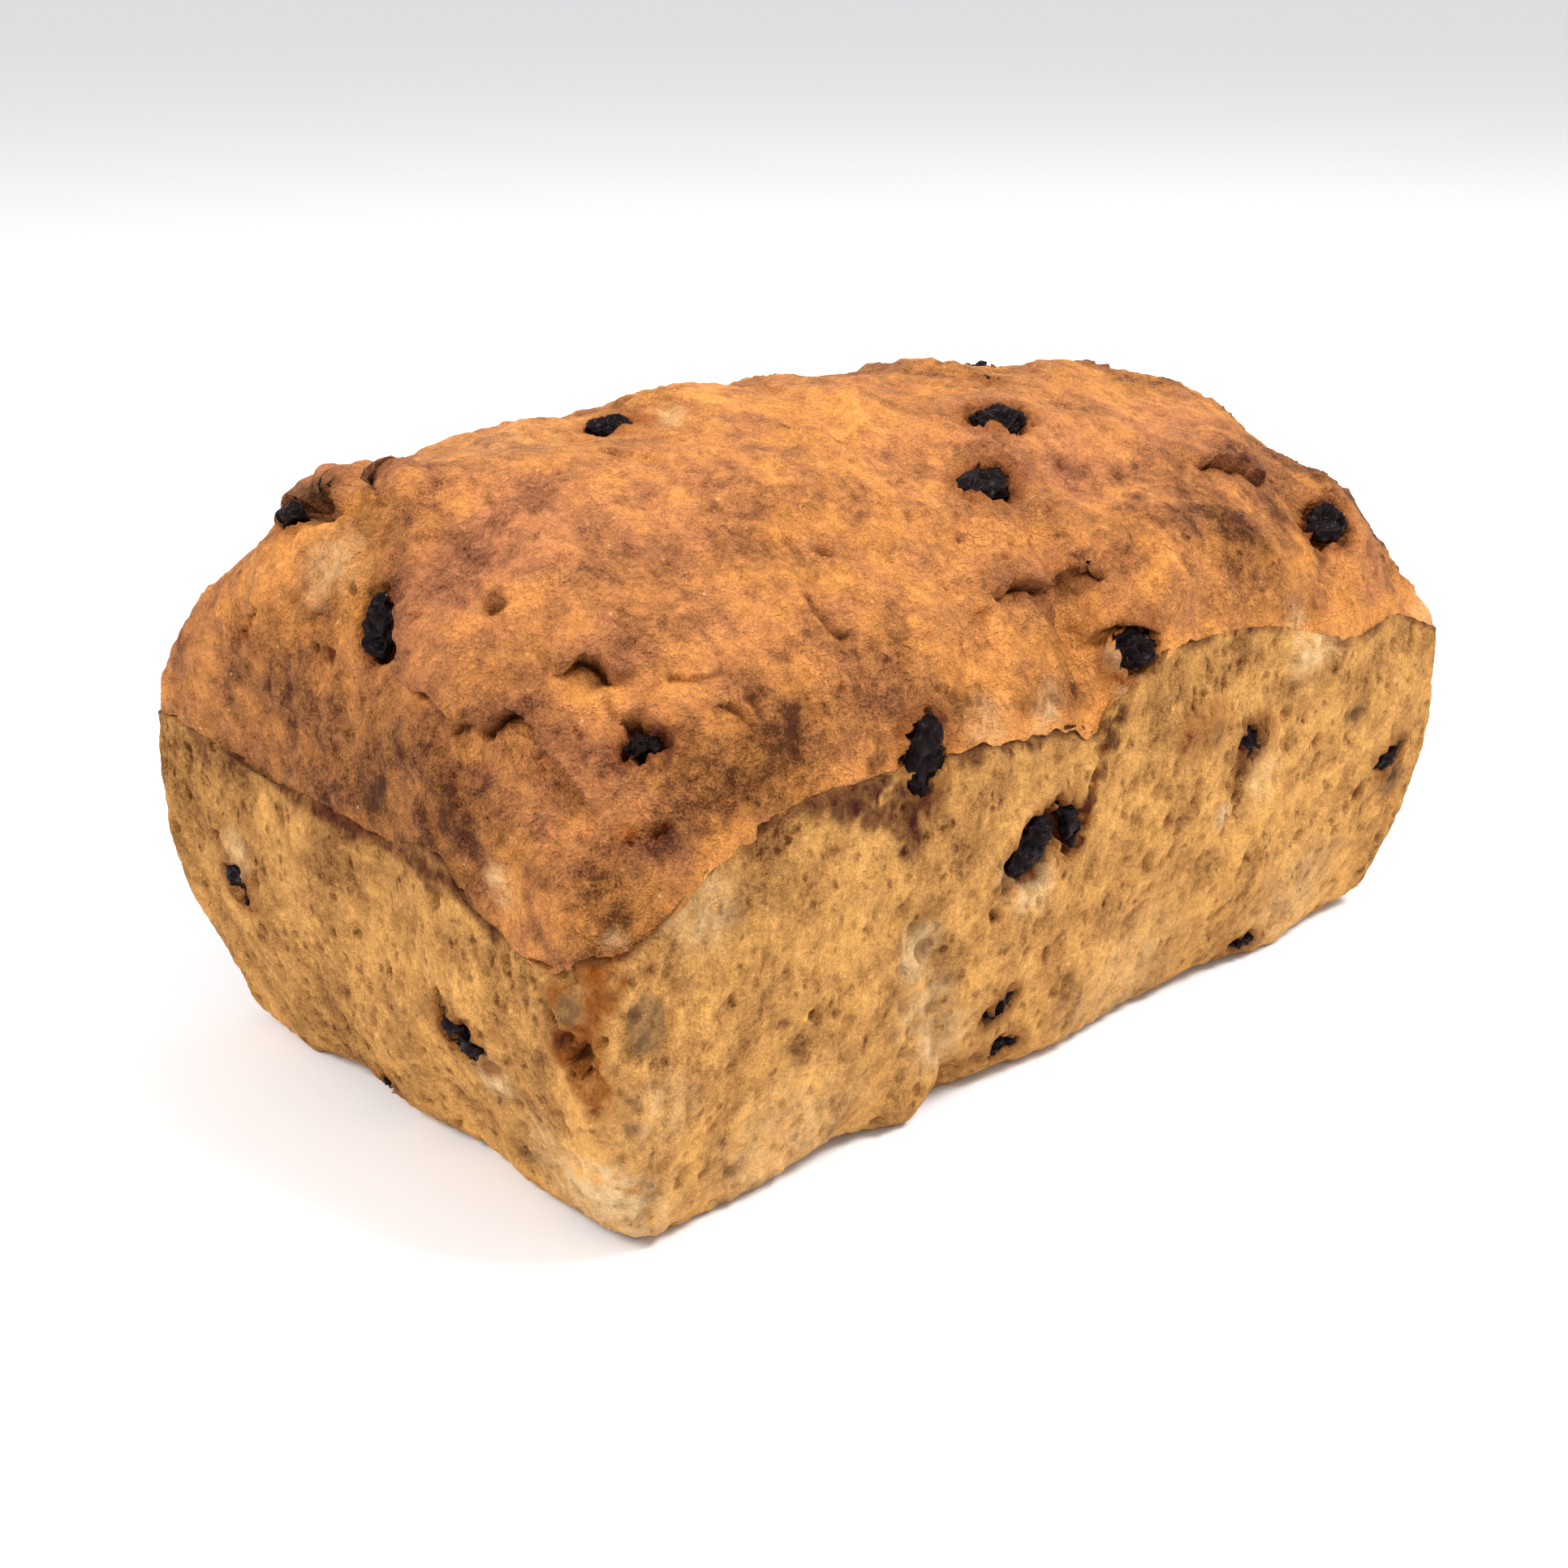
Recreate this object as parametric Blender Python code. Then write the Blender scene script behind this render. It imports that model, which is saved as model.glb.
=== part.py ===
"""Raisin tin loaf: one baked, uncut loaf with a domed crust and raisins set in its surface.

Units are metres, +Z is up, and the origin is the middle of the flat base. The long side with the
stepped lip faces -Y, and the end with the low lobe faces -X.
"""
import math

import bmesh
import bpy
import numpy as np
from mathutils import Matrix, Vector

# The tin that shaped the lower half
BASE_LENGTH = 0.1720
BASE_WIDTH = 0.0993
RIM_LENGTH = 0.1926
RIM_WIDTH = 0.1125
RIM_HEIGHT = 0.0528
FOOT_RADIUS = 0.004
CORNER_RADIUS = 0.006
WALL_BULGE = 0.0033

# The crust that rose above it: spine heights at fractions of the half length
SPINE = ((-1.0, 0.1015), (-0.6, 0.0995), (-0.2, 0.0995), (0.2, 0.0983), (0.6, 0.0956), (1.0, 0.0994))
NEAR_END_POWER = 5.6
NEAR_END_DROP = 0.32
FAR_END_POWER = 5.5
FAR_END_DROP = 0.45
ARCH_POWER = 2.35
ARCH_DROP = 0.74
CREST_SHIFT = 0.09
CROWN_CORNER = 0.014

# Where the crust meets the wall: (place along the side, height)
SIDE_LIP = ((-0.0923, 0.0458), (-0.0853, 0.0538), (-0.0743, 0.0583), (-0.0593, 0.0608), (-0.0443, 0.0603),
            (-0.0323, 0.0613), (-0.0193, 0.0593), (-0.0073, 0.0578), (0.0007, 0.0568), (0.0057, 0.0628),
            (0.0137, 0.0648), (0.0227, 0.0648), (0.0347, 0.0643), (0.0467, 0.0618), (0.0657, 0.0558),
            (0.0807, 0.0573), (0.0887, 0.0538), (0.0937, 0.0518))
END_LIP = ((-0.0557, 0.0458), (-0.0407, 0.0418), (-0.0337, 0.0445), (-0.0287, 0.0482), (-0.0247, 0.0518),
           (-0.0097, 0.0513), (0.0013, 0.0521), (0.0193, 0.0518), (0.0313, 0.0528), (0.0443, 0.0541),
           (0.0583, 0.0532))
LIP_REACH = 0.026

# How finely the faces are cut
COLUMNS = 42
ROWS = 26
WALL_ROWS = 13
FOOT_SHARE = 0.2
PROFILE_STEPS = 2001

# Slow unevenness of the baked surface, as waves that run along X, Y and Z
WAVE_HEIGHT = 0.0004
WAVES = ((95.0, 160.0, 120.0, 0.4), (-210.0, 90.0, 150.0, 2.1), (140.0, -230.0, 60.0, 4.4))

# The crust's edge stands out over the wall
LIP_OVERHANG = 0.0004
LIP_UNDERCUT = 0.0004

# Swellings (depth below zero) and dents: place, radius, depth
DENTS = (
    ((-0.0800, 0.0240, 0.0930), 0.0125, -0.0048),
    ((-0.0760, 0.0400, 0.0890), 0.0090, -0.0022),
    ((-0.0800, 0.0020, 0.0935), 0.0065, -0.0018),
    ((-0.0760, -0.0300, 0.0840), 0.0080, -0.0016),
    ((-0.0786, -0.0354, 0.0791), 0.0060, 0.0012),
    ((-0.0600, -0.0510, 0.0700), 0.0110, -0.0010),
    ((0.0140, -0.0520, 0.0740), 0.0130, -0.0015),
    ((-0.0120, -0.0520, 0.0640), 0.0130, -0.0012),
    ((-0.0960, -0.0520, 0.0400), 0.0095, 0.0026),
    ((-0.0950, -0.0540, 0.0310), 0.0070, 0.0016),
    ((-0.0250, -0.0500, 0.0020), 0.0075, 0.0030),
    ((-0.0360, -0.0500, 0.0040), 0.0090, -0.0012),
    ((0.0130, 0.0500, 0.0030), 0.0080, 0.0022),
    ((0.0600, 0.0300, 0.0950), 0.0160, 0.0012),
)

# Grooves and folds: places along the route, width, depth
GROOVES = (
    (((-0.0819, 0.0049, 0.0927), (-0.0886, -0.0024, 0.0864), (-0.0919, -0.0076, 0.0802),
      (-0.0941, -0.0206, 0.0737), (-0.0921, -0.0283, 0.0719)), 0.0080, 0.0014),
    (((-0.0865, -0.0347, 0.0722), (-0.0869, -0.0431, 0.0636), (-0.0846, -0.0498, 0.0600),
      (-0.0806, -0.0530, 0.0598)), 0.0060, 0.0012),
    (((-0.0090, 0.0083, 0.0985), (-0.0111, -0.0140, 0.0957), (0.0041, -0.0305, 0.0873),
      (0.0037, -0.0442, 0.0787), (-0.0020, -0.0538, 0.0640), (0.0011, -0.0563, 0.0560)), 0.0090, 0.0013),
    (((0.0073, -0.0563, 0.0600), (0.0011, -0.0563, 0.0567), (-0.0053, -0.0568, 0.0463)), 0.0050, 0.0014),
    (((-0.0430, -0.0568, 0.0388), (-0.0354, -0.0562, 0.0299), (-0.0316, -0.0531, 0.0131),
      (-0.0230, -0.0500, 0.0020)), 0.0080, 0.0015),
    (((-0.0400, 0.0562, 0.0560), (-0.0340, 0.0560, 0.0340), (-0.0300, 0.0520, 0.0100)), 0.0080, 0.0012),
    (((0.0300, 0.0400, 0.0910), (0.0420, 0.0480, 0.0800), (0.0480, 0.0555, 0.0600)), 0.0090, 0.0013),
    (((0.0930, 0.0200, 0.0750), (0.0955, 0.0100, 0.0600), (0.0960, 0.0060, 0.0450)), 0.0070, 0.0012),
)

# Raisins: place on the crust or wall, length, width and thickness, turn in degrees, rise out of the surface
RAISINS = {
    "raisin_in_blister": ((-0.0856, 0.0228, 0.0876), (0.0068, 0.0050, 0.0042), 20, -0.0004),
    "raisin_at_fold": ((-0.0903, -0.0052, 0.0791), (0.0112, 0.0070, 0.0050), -60, -0.0008),
    "raisin_left_crest": ((-0.0434, 0.0045, 0.0978), (0.0078, 0.0070, 0.0044), 0, -0.0006),
    "raisin_burnt": ((-0.0783, -0.0448, 0.0690), (0.0056, 0.0048, 0.0042), 30, -0.0009),
    "raisin_right_crest": ((0.0165, -0.0188, 0.0936), (0.0125, 0.0080, 0.0040), 0, -0.0011),
    "raisin_flush": ((0.0020, -0.0293, 0.0866), (0.0150, 0.0080, 0.0040), -10, -0.0015),
    "raisin_in_shoulder": ((0.0084, -0.0535, 0.0660), (0.0100, 0.0084, 0.0046), 10, -0.0012),
    "raisin_far_crust": ((0.0710, -0.0446, 0.0716), (0.0105, 0.0082, 0.0046), 25, -0.0006),
    "raisin_at_lip": ((-0.0374, -0.0553, 0.0607), (0.0135, 0.0080, 0.0044), 85, -0.0008),
    "raisin_small_crest": ((0.0302, -0.0038, 0.0967), (0.0046, 0.0040, 0.0030), 0, -0.0003),
    "raisin_pair_left": ((-0.0151, -0.0567, 0.0413), (0.0125, 0.0070, 0.0044), 38, -0.0010),
    "raisin_pair_right": ((-0.0066, -0.0567, 0.0430), (0.0098, 0.0052, 0.0040), -75, -0.0009),
    "raisin_in_slit": ((0.0395, -0.0565, 0.0442), (0.0110, 0.0062, 0.0044), 18, -0.0013),
    "raisin_under_skin": ((0.0250, -0.0565, 0.0503), (0.0130, 0.0058, 0.0040), 7, -0.0015),
    "raisin_far_side": ((0.0792, -0.0563, 0.0316), (0.0092, 0.0066, 0.0044), 27, -0.0012),
    "raisin_groove_upper": ((-0.0180, -0.0532, 0.0152), (0.0078, 0.0042, 0.0036), 35, -0.0009),
    "raisin_groove_lower": ((-0.0138, -0.0507, 0.0060), (0.0082, 0.0042, 0.0036), 0, -0.0009),
    "raisin_bottom_edge": ((0.0480, -0.0499, 0.0040), (0.0092, 0.0036, 0.0034), 0, -0.0008),
    "raisin_end_rear": ((-0.0952, 0.0322, 0.0310), (0.0092, 0.0074, 0.0044), -10, -0.0011),
    "raisin_end_near": ((-0.0946, -0.0246, 0.0262), (0.0112, 0.0064, 0.0044), -20, -0.0010),
    "raisin_end_foot": ((-0.0874, 0.0069, 0.0042), (0.0066, 0.0034, 0.0032), 0, -0.0007),
    "raisin_rear_crust_1": ((-0.0520, 0.0390, 0.0880), (0.0110, 0.0080, 0.0046), 40, -0.0009),
    "raisin_rear_crust_2": ((0.0060, 0.0480, 0.0800), (0.0120, 0.0070, 0.0046), -15, -0.0010),
    "raisin_rear_crust_3": ((0.0520, 0.0180, 0.0940), (0.0090, 0.0070, 0.0044), 60, -0.0007),
    "raisin_back_1": ((-0.0700, 0.0565, 0.0400), (0.0120, 0.0078, 0.0046), 15, -0.0012),
    "raisin_back_2": ((-0.0230, 0.0565, 0.0480), (0.0100, 0.0076, 0.0044), -40, -0.0011),
    "raisin_back_3": ((0.0180, 0.0545, 0.0220), (0.0130, 0.0066, 0.0044), 5, -0.0012),
    "raisin_far_end_1": ((0.0960, -0.0300, 0.0360), (0.0110, 0.0076, 0.0046), 30, -0.0011),
    "raisin_far_end_2": ((0.0930, -0.0020, 0.0760), (0.0110, 0.0070, 0.0046), 0, -0.0009),
}
RAISIN_SIDES = 10
RAISIN_RINGS = 6
RAISIN_FOLD = 0.07
POCKET_GAP = 0.0004

# Torn blisters, pits and holes: place, length, width and depth, turn in degrees
HOLLOWS = (
    ((-0.0835, 0.0215, 0.0925), (0.0130, 0.0080, 0.0090), 0),
    ((-0.0825, 0.0050, 0.0922), (0.0045, 0.0040, 0.0040), 0),
    ((-0.0908, 0.0260, 0.0723), (0.0030, 0.0070, 0.0030), -25),
    ((0.0035, -0.0562, 0.0610), (0.0055, 0.0120, 0.0040), -20),
    ((0.0700, -0.0480, 0.0690), (0.0080, 0.0060, 0.0050), 0),
    ((-0.0182, -0.0566, 0.0368), (0.0080, 0.0050, 0.0040), 30),
    ((0.0338, -0.0567, 0.0379), (0.0028, 0.0090, 0.0060), 8),
    ((-0.0957, 0.0330, 0.0372), (0.0080, 0.0045, 0.0030), 0),
    ((-0.0948, -0.0268, 0.0226), (0.0090, 0.0040, 0.0030), -20),
    ((-0.0182, -0.0470, 0.0755), (0.0040, 0.0060, 0.0040), -20),
    ((-0.0054, -0.0445, 0.0767), (0.0090, 0.0028, 0.0030), 10),
    ((0.0044, -0.0468, 0.0772), (0.0090, 0.0028, 0.0030), 15),
    ((0.0702, -0.0561, 0.0269), (0.0026, 0.0036, 0.0040), -15),
    ((-0.0964, -0.0225, 0.0465), (0.0026, 0.0040, 0.0030), 10),
    ((-0.0962, -0.0525, 0.0348), (0.0026, 0.0045, 0.0050), 0),
)
HOLLOW_SIDES = 8
HOLLOW_RINGS = 5


def ease(start, end, value):
    """Smooth step from 0 at start to 1 at end."""
    share = np.clip((value - start) / (end - start), 0.0, 1.0)
    return share * share * (3.0 - 2.0 * share)


def through(places, value):
    """Height at value of the smooth curve that runs through the places."""
    across, heights = np.array(places).T
    slopes = np.gradient(heights, across)
    left = np.clip(np.searchsorted(across, value) - 1, 0, len(across) - 2)
    step = across[left + 1] - across[left]
    share = np.clip((value - across[left]) / step, 0.0, 1.0)
    rise = (1 + 2 * share) * (1 - share) ** 2 * heights[left] + share ** 2 * (3 - 2 * share) * heights[left + 1]
    return rise + share * (1 - share) * step * ((1 - share) * slopes[left] - share * slopes[left + 1])


def round_corners(x, y, half_length, half_width, radius):
    """Bends the square corners of a rectangle into arcs."""
    over_x = np.clip((np.abs(x) - half_length + radius) / radius, 0.0, 1.0)
    over_y = np.clip((np.abs(y) - half_width + radius) / radius, 0.0, 1.0)
    arc_x = half_length - radius + radius * over_x * np.sqrt(1 - over_y ** 2 / 2)
    arc_y = half_width - radius + radius * over_y * np.sqrt(1 - over_x ** 2 / 2)
    in_corner = (over_x > 0) & (over_y > 0)
    return np.where(in_corner, np.sign(x) * arc_x, x), np.where(in_corner, np.sign(y) * arc_y, y)


def lip_height(x, y):
    """Height of the crust's edge, blended inward from the two sides that show a stepped lip."""
    side, end = through(SIDE_LIP, x), through(END_LIP, y)
    near_side = ease(LIP_REACH, 0.0, y + RIM_WIDTH / 2)
    near_end = ease(LIP_REACH, 0.0, x + RIM_LENGTH / 2)
    height = RIM_HEIGHT + (side - RIM_HEIGHT) * near_side * (1 - near_end)
    height += (end - RIM_HEIGHT) * near_end * (1 - near_side)
    return height + (np.minimum(side, end) - RIM_HEIGHT) * near_side * near_end


def end_fall(fraction_x):
    """Share of the spine's rise that is left at a fraction of the half length."""
    power = np.where(fraction_x < 0, NEAR_END_POWER, FAR_END_POWER)
    drop = np.where(fraction_x < 0, NEAR_END_DROP, FAR_END_DROP)
    return np.clip(1 - np.abs(fraction_x) ** power, 0, 1) ** drop


def arch(fraction_y):
    """Share of the spine's rise that is left at a fraction of the half width."""
    from_crest = fraction_y - CREST_SHIFT
    reach = np.where(from_crest < 0, 1 + CREST_SHIFT, 1 - CREST_SHIFT)
    return np.clip(1 - np.abs(from_crest / reach) ** ARCH_POWER, 0, 1) ** ARCH_DROP


def even_fractions(stations, profile, half_extent):
    """Fractions at which stations from -1 to 1 lie evenly spaced along the curved profile."""
    fine = np.sin(np.linspace(-math.pi / 2, math.pi / 2, PROFILE_STEPS))
    rise = (SPINE[2][1] - RIM_HEIGHT) * profile(fine)
    run = np.cumsum(np.hypot(np.diff(fine, prepend=-1) * half_extent, np.diff(rise, prepend=0)))
    return np.interp(stations, 2 * run / run[-1] - 1, fine)


def plan_fractions(along, across):
    """Plan places of the stations: evenly spaced over the dome, and spread out towards the crust's edge."""
    spread_x = 0.5 * along + 0.5 * np.sin(along * math.pi / 2)
    spread_y = 0.5 * across + 0.5 * np.sin(across * math.pi / 2)
    even_x = even_fractions(along, end_fall, RIM_LENGTH / 2)
    even_y = even_fractions(across, arch, RIM_WIDTH / 2)
    fraction_x = spread_x + (even_x - spread_x) * arch(even_y)
    return fraction_x, spread_y + (even_y - spread_y) * end_fall(even_x)


def crust_point(along, across):
    """Point of the crust, where along and across run from -1 to 1 over its curved top."""
    fraction_x, fraction_y = plan_fractions(along, across)
    x, y = fraction_x * RIM_LENGTH / 2, fraction_y * RIM_WIDTH / 2
    share = end_fall(fraction_x) * arch(fraction_y)
    z = lip_height(x, y) + (through(SPINE, fraction_x) - RIM_HEIGHT) * share
    radius = CORNER_RADIUS + CROWN_CORNER * ease(0.0, 0.6, share)
    x, y = round_corners(x, y, RIM_LENGTH / 2, RIM_WIDTH / 2, radius)
    return np.stack([x, y, z], axis=-1)


def wall_point(along, across, up):
    """Point of the wall below the crust's edge, with up from 0 at the base to 1 at the lip."""
    fraction_x, fraction_y = plan_fractions(along, across)
    top = lip_height(fraction_x * RIM_LENGTH / 2, fraction_y * RIM_WIDTH / 2)
    turn = np.clip(up / FOOT_SHARE, 0, 1) * math.pi / 2
    above = np.clip((up - FOOT_SHARE) / (1 - FOOT_SHARE), 0, 1)
    z = FOOT_RADIUS * (1 - np.cos(turn)) + (top - FOOT_RADIUS) * above
    share = z / top
    swell = WALL_BULGE * np.sin(math.pi * share) - FOOT_RADIUS * (1 - np.sin(turn))
    half_length = (BASE_LENGTH + (RIM_LENGTH - BASE_LENGTH) * share) / 2 + swell
    half_width = (BASE_WIDTH + (RIM_WIDTH - BASE_WIDTH) * share) / 2 + swell
    x, y = round_corners(fraction_x * half_length, fraction_y * half_width, half_length, half_width, CORNER_RADIUS)
    return np.stack([x, y, z], axis=-1)


def route_distance(points, route):
    """Distance of every point from a line through the route's places."""
    nearest = np.full(len(points), np.inf)
    for start, end in zip(np.array(route[:-1]), np.array(route[1:])):
        run = end - start
        share = np.clip((points - start) @ run / (run @ run), 0.0, 1.0)
        nearest = np.minimum(nearest, np.linalg.norm(points - start - share[:, None] * run, axis=1))
    return nearest


def sunk_by(points):
    """How far the surface lies below the plain form at every point."""
    depth = np.zeros(len(points))
    for place, radius, dent in DENTS:
        depth += dent * ease(radius, 0.0, np.linalg.norm(points - np.array(place), axis=1))
    for route, width, cut in GROOVES:
        depth += cut * ease(width / 2, 0.0, route_distance(points, route))
    for *turns, start in WAVES:
        depth += WAVE_HEIGHT * np.sin(points @ np.array(turns) + start)
    return depth


def lip_relief(up, on_crust):
    """The crust's edge stands out, and the wall just under it is drawn in."""
    edge = np.where(on_crust | (up < 1), 0.0, LIP_OVERHANG)
    return edge - LIP_UNDERCUT * ease(0.80, 0.93, up) * ease(1.0, 0.93, up)


def surface_frame(loaf, place):
    """Point of the surface nearest to the place, with its sideways, upward and outward directions."""
    _, spot, outward, _ = loaf.closest_point_on_mesh(place)
    level = Vector((0, 0, 1)).cross(outward)
    sideways = level.normalized() if level.length > 0.2 else Vector((1, 0, 0))
    return spot, sideways, outward.cross(sideways), outward


def make_pebble(name, loaf, place, size, turn, rise=0.0, fold=0.0, sides=HOLLOW_SIDES, rings=HOLLOW_RINGS):
    """An egg lying in the surface, its girth folded in and out where fold isn't zero."""
    bpy.ops.mesh.primitive_uv_sphere_add(segments=sides, ring_count=rings, radius=0.5)
    pebble = bpy.context.object
    pebble.name = name
    pebble.data.name = name
    spot, sideways, upward, outward = surface_frame(loaf, place)
    spin = Matrix.Rotation(math.radians(turn), 3, outward)
    axes = Matrix((spin @ upward, outward, spin @ sideways)).transposed()
    length, width, thickness = size
    for vert in pebble.data.vertices:
        girth = math.atan2(vert.co.y, vert.co.x)
        folded = 1 + fold * math.sin(3 * girth + 40 * place[0] / RIM_LENGTH) + fold * math.sin(9 * vert.co.z)
        local = Vector((vert.co.x * width * folded, vert.co.y * thickness * folded, vert.co.z * length))
        vert.co = axes @ local + spot + rise * outward
    pebble.data.shade_smooth()
    return pebble


def move_to(item, collection):
    for holder in list(item.users_collection):
        holder.objects.unlink(item)
    collection.objects.link(item)


def make_cutter(cutters, *pebble_values, **pebble_settings):
    cutter = make_pebble(*pebble_values, **pebble_settings)
    cutter.hide_render = True
    cutter.display_type = "WIRE"
    move_to(cutter, cutters)


def make_raisins(loaf, parts, cutters, material):
    """Each raisin lies in a pocket of its own shape that is a little larger."""
    shape = {"fold": RAISIN_FOLD, "sides": RAISIN_SIDES, "rings": RAISIN_RINGS}
    for name, (place, size, turn, rise) in RAISINS.items():
        raisin = make_pebble(name, loaf, place, size, turn, rise, **shape)
        raisin.data.materials.append(material)
        move_to(raisin, parts)
        grown = [extent + 2 * POCKET_GAP for extent in size]
        make_cutter(cutters, name + "_pocket", loaf, place, grown, turn, rise, **shape)


def make_hollows(loaf, cutters):
    for number, (place, size, turn) in enumerate(HOLLOWS, 1):
        make_cutter(cutters, f"hollow_{number}", loaf, place, size, turn)


def make_material(name, colour, roughness):
    material = bpy.data.materials.new(name)
    material.use_nodes = True
    shader = material.node_tree.nodes["Principled BSDF"]
    shader.inputs["Base Color"].default_value = (*colour, 1.0)
    shader.inputs["Roughness"].default_value = roughness
    return material


def make_loaf(collection, material):
    """A grid with its border drawn down and closed, whose vertices then move onto the loaf's form."""
    bpy.ops.mesh.primitive_grid_add(x_subdivisions=COLUMNS, y_subdivisions=ROWS, size=2)
    loaf = bpy.context.object
    loaf.name = "loaf"
    mesh = bmesh.new()
    mesh.from_mesh(loaf.data)
    edges = [edge for edge in mesh.edges if edge.is_boundary]
    for _ in range(WALL_ROWS):
        grown = bmesh.ops.extrude_edge_only(mesh, edges=edges)["geom"]
        fresh = [item for item in grown if isinstance(item, bmesh.types.BMVert)]
        bmesh.ops.translate(mesh, verts=fresh, vec=(0, 0, -1))
        edges = [item for item in grown if isinstance(item, bmesh.types.BMEdge)]
        edges = [edge for edge in edges if edge.is_boundary]
    bmesh.ops.triangle_fill(mesh, edges=edges, use_beauty=True)
    grid = np.array([vert.co for vert in mesh.verts])
    along, across, up = grid[:, 0], grid[:, 1], 1 + grid[:, 2] / WALL_ROWS
    inside = (np.abs(along) < 0.999) & (np.abs(across) < 0.999)
    on_crust = grid[:, 2] > -0.5
    form = np.where(on_crust[:, None], crust_point(along, across), wall_point(along, across, up))
    for vert, point in zip(mesh.verts, form):
        vert.co = point
    bmesh.ops.recalc_face_normals(mesh, faces=mesh.faces)
    mesh.normal_update()
    outward = np.array([vert.normal for vert in mesh.verts])
    on_base = up < 0.5 / WALL_ROWS
    outward[on_base, 2] = 0.0
    form += outward * (lip_relief(up, inside) - sunk_by(form))[:, None]
    for vert, point, flat in zip(mesh.verts, form, on_base):
        vert.co = (point[0], point[1], 0.0 if flat else max(point[2], 0.0002))
    mesh.to_mesh(loaf.data)
    mesh.free()
    loaf.data.materials.append(material)
    loaf.data.shade_smooth()
    move_to(loaf, collection)
    return loaf


def main():
    for item in list(bpy.data.objects):
        bpy.data.objects.remove(item, do_unlink=True)
    parts = bpy.data.collections.new("raisin_tin_loaf")
    cutters = bpy.data.collections.new("cutters")
    bpy.context.scene.collection.children.link(parts)
    bpy.context.scene.collection.children.link(cutters)
    loaf = make_loaf(parts, make_material("baked_crust", (0.47, 0.2, 0.055), 0.6))
    make_raisins(loaf, parts, cutters, make_material("raisin", (0.02, 0.012, 0.014), 0.45))
    make_hollows(loaf, cutters)
    cut = loaf.modifiers.new("pockets", "BOOLEAN")
    cut.operand_type = "COLLECTION"
    cut.collection = cutters
    cut.operation = "DIFFERENCE"
    cut.solver = "EXACT"


main()
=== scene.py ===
import functools
import math

import bpy
import numpy as np
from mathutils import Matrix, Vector, noise
from mathutils.bvhtree import BVHTree


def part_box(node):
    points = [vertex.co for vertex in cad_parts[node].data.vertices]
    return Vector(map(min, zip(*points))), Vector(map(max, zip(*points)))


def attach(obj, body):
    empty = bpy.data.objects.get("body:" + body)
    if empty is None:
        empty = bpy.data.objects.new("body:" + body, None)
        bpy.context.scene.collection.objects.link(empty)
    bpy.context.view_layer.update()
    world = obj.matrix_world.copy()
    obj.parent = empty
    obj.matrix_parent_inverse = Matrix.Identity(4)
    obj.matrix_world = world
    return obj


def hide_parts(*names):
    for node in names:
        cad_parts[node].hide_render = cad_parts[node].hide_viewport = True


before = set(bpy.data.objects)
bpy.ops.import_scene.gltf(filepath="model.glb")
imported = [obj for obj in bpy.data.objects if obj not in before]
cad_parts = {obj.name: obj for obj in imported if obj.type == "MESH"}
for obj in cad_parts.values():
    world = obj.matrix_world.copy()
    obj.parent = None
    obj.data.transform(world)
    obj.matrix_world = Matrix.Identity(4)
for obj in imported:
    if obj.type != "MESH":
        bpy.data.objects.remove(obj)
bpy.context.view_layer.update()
bpy.ops.object.select_all(action="DESELECT")

# ---- The sides and base of the loaf, which the tin shaped ----
# Wheat dough that pressed against the tin: a thin, dry, pale brown skin over burst bubbles,
# set by the oven. The walls lean outward and bulge a little, and the base is flat.
MM = 0.001
BASE_LENGTH = 172.0 * MM
BASE_WIDTH = 99.3 * MM
RIM_LENGTH = 192.6 * MM
RIM_WIDTH = 112.5 * MM
RIM_HEIGHT = 52.8 * MM
FOOT_RADIUS = 4.0 * MM
FOOT_SHARE = 0.12
CORNER_RADIUS = 6.0 * MM
WALL_BULGE = 3.3 * MM
SIDE_COLUMNS = 980
SIDE_ROWS = 86
# Rings that turn in at the top under the crust, in mm: inset, and height or the lip's
TUCK = ((2.0, None), (6.0, None), (9.0, 46.0))

# Where the crust meets the wall, in mm: (place along the side, height)
SIDE_LIP = ((-92.3, 48.4), (-85.3, 54.4), (-74.3, 58.3), (-59.3, 60.8), (-44.3, 60.3), (-32.3, 61.3),
            (-19.3, 59.3), (-7.3, 57.8), (0.7, 56.8), (5.7, 62.8), (13.7, 64.8), (22.7, 64.8), (34.7, 64.3),
            (46.7, 61.8), (65.7, 55.8), (80.7, 57.3), (88.7, 53.8), (93.7, 51.8))
END_LIP = ((-55.7, 48.4), (-40.7, 44.6), (-33.7, 46.5), (-28.7, 48.2), (-24.7, 51.8), (-9.7, 51.3),
           (1.3, 52.1), (19.3, 51.8), (31.3, 52.8), (44.3, 54.1), (58.3, 53.2))
LIP_REACH = 26.0 * MM


def ease(start, end, value):
    """Smooth step from 0 at start to 1 at end."""
    share = np.clip((value - start) / (end - start), 0.0, 1.0)
    return share * share * (3.0 - 2.0 * share)


def fade(start, end, distance):
    """Smooth step from 0 at start to 1 at end, both in mm."""
    return ease(start * MM, end * MM, distance)


def through(places, value):
    """Height at value of the smooth curve that runs through the places, all in metres."""
    across, heights = np.array(places).T * MM
    slopes = np.gradient(heights, across)
    left = np.clip(np.searchsorted(across, value) - 1, 0, len(across) - 2)
    step = across[left + 1] - across[left]
    share = np.clip((value - across[left]) / step, 0.0, 1.0)
    rise = (1 + 2 * share) * (1 - share) ** 2 * heights[left]
    rise += share ** 2 * (3 - 2 * share) * heights[left + 1]
    return rise + share * (1 - share) * step * ((1 - share) * slopes[left] - share * slopes[left + 1])


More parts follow.
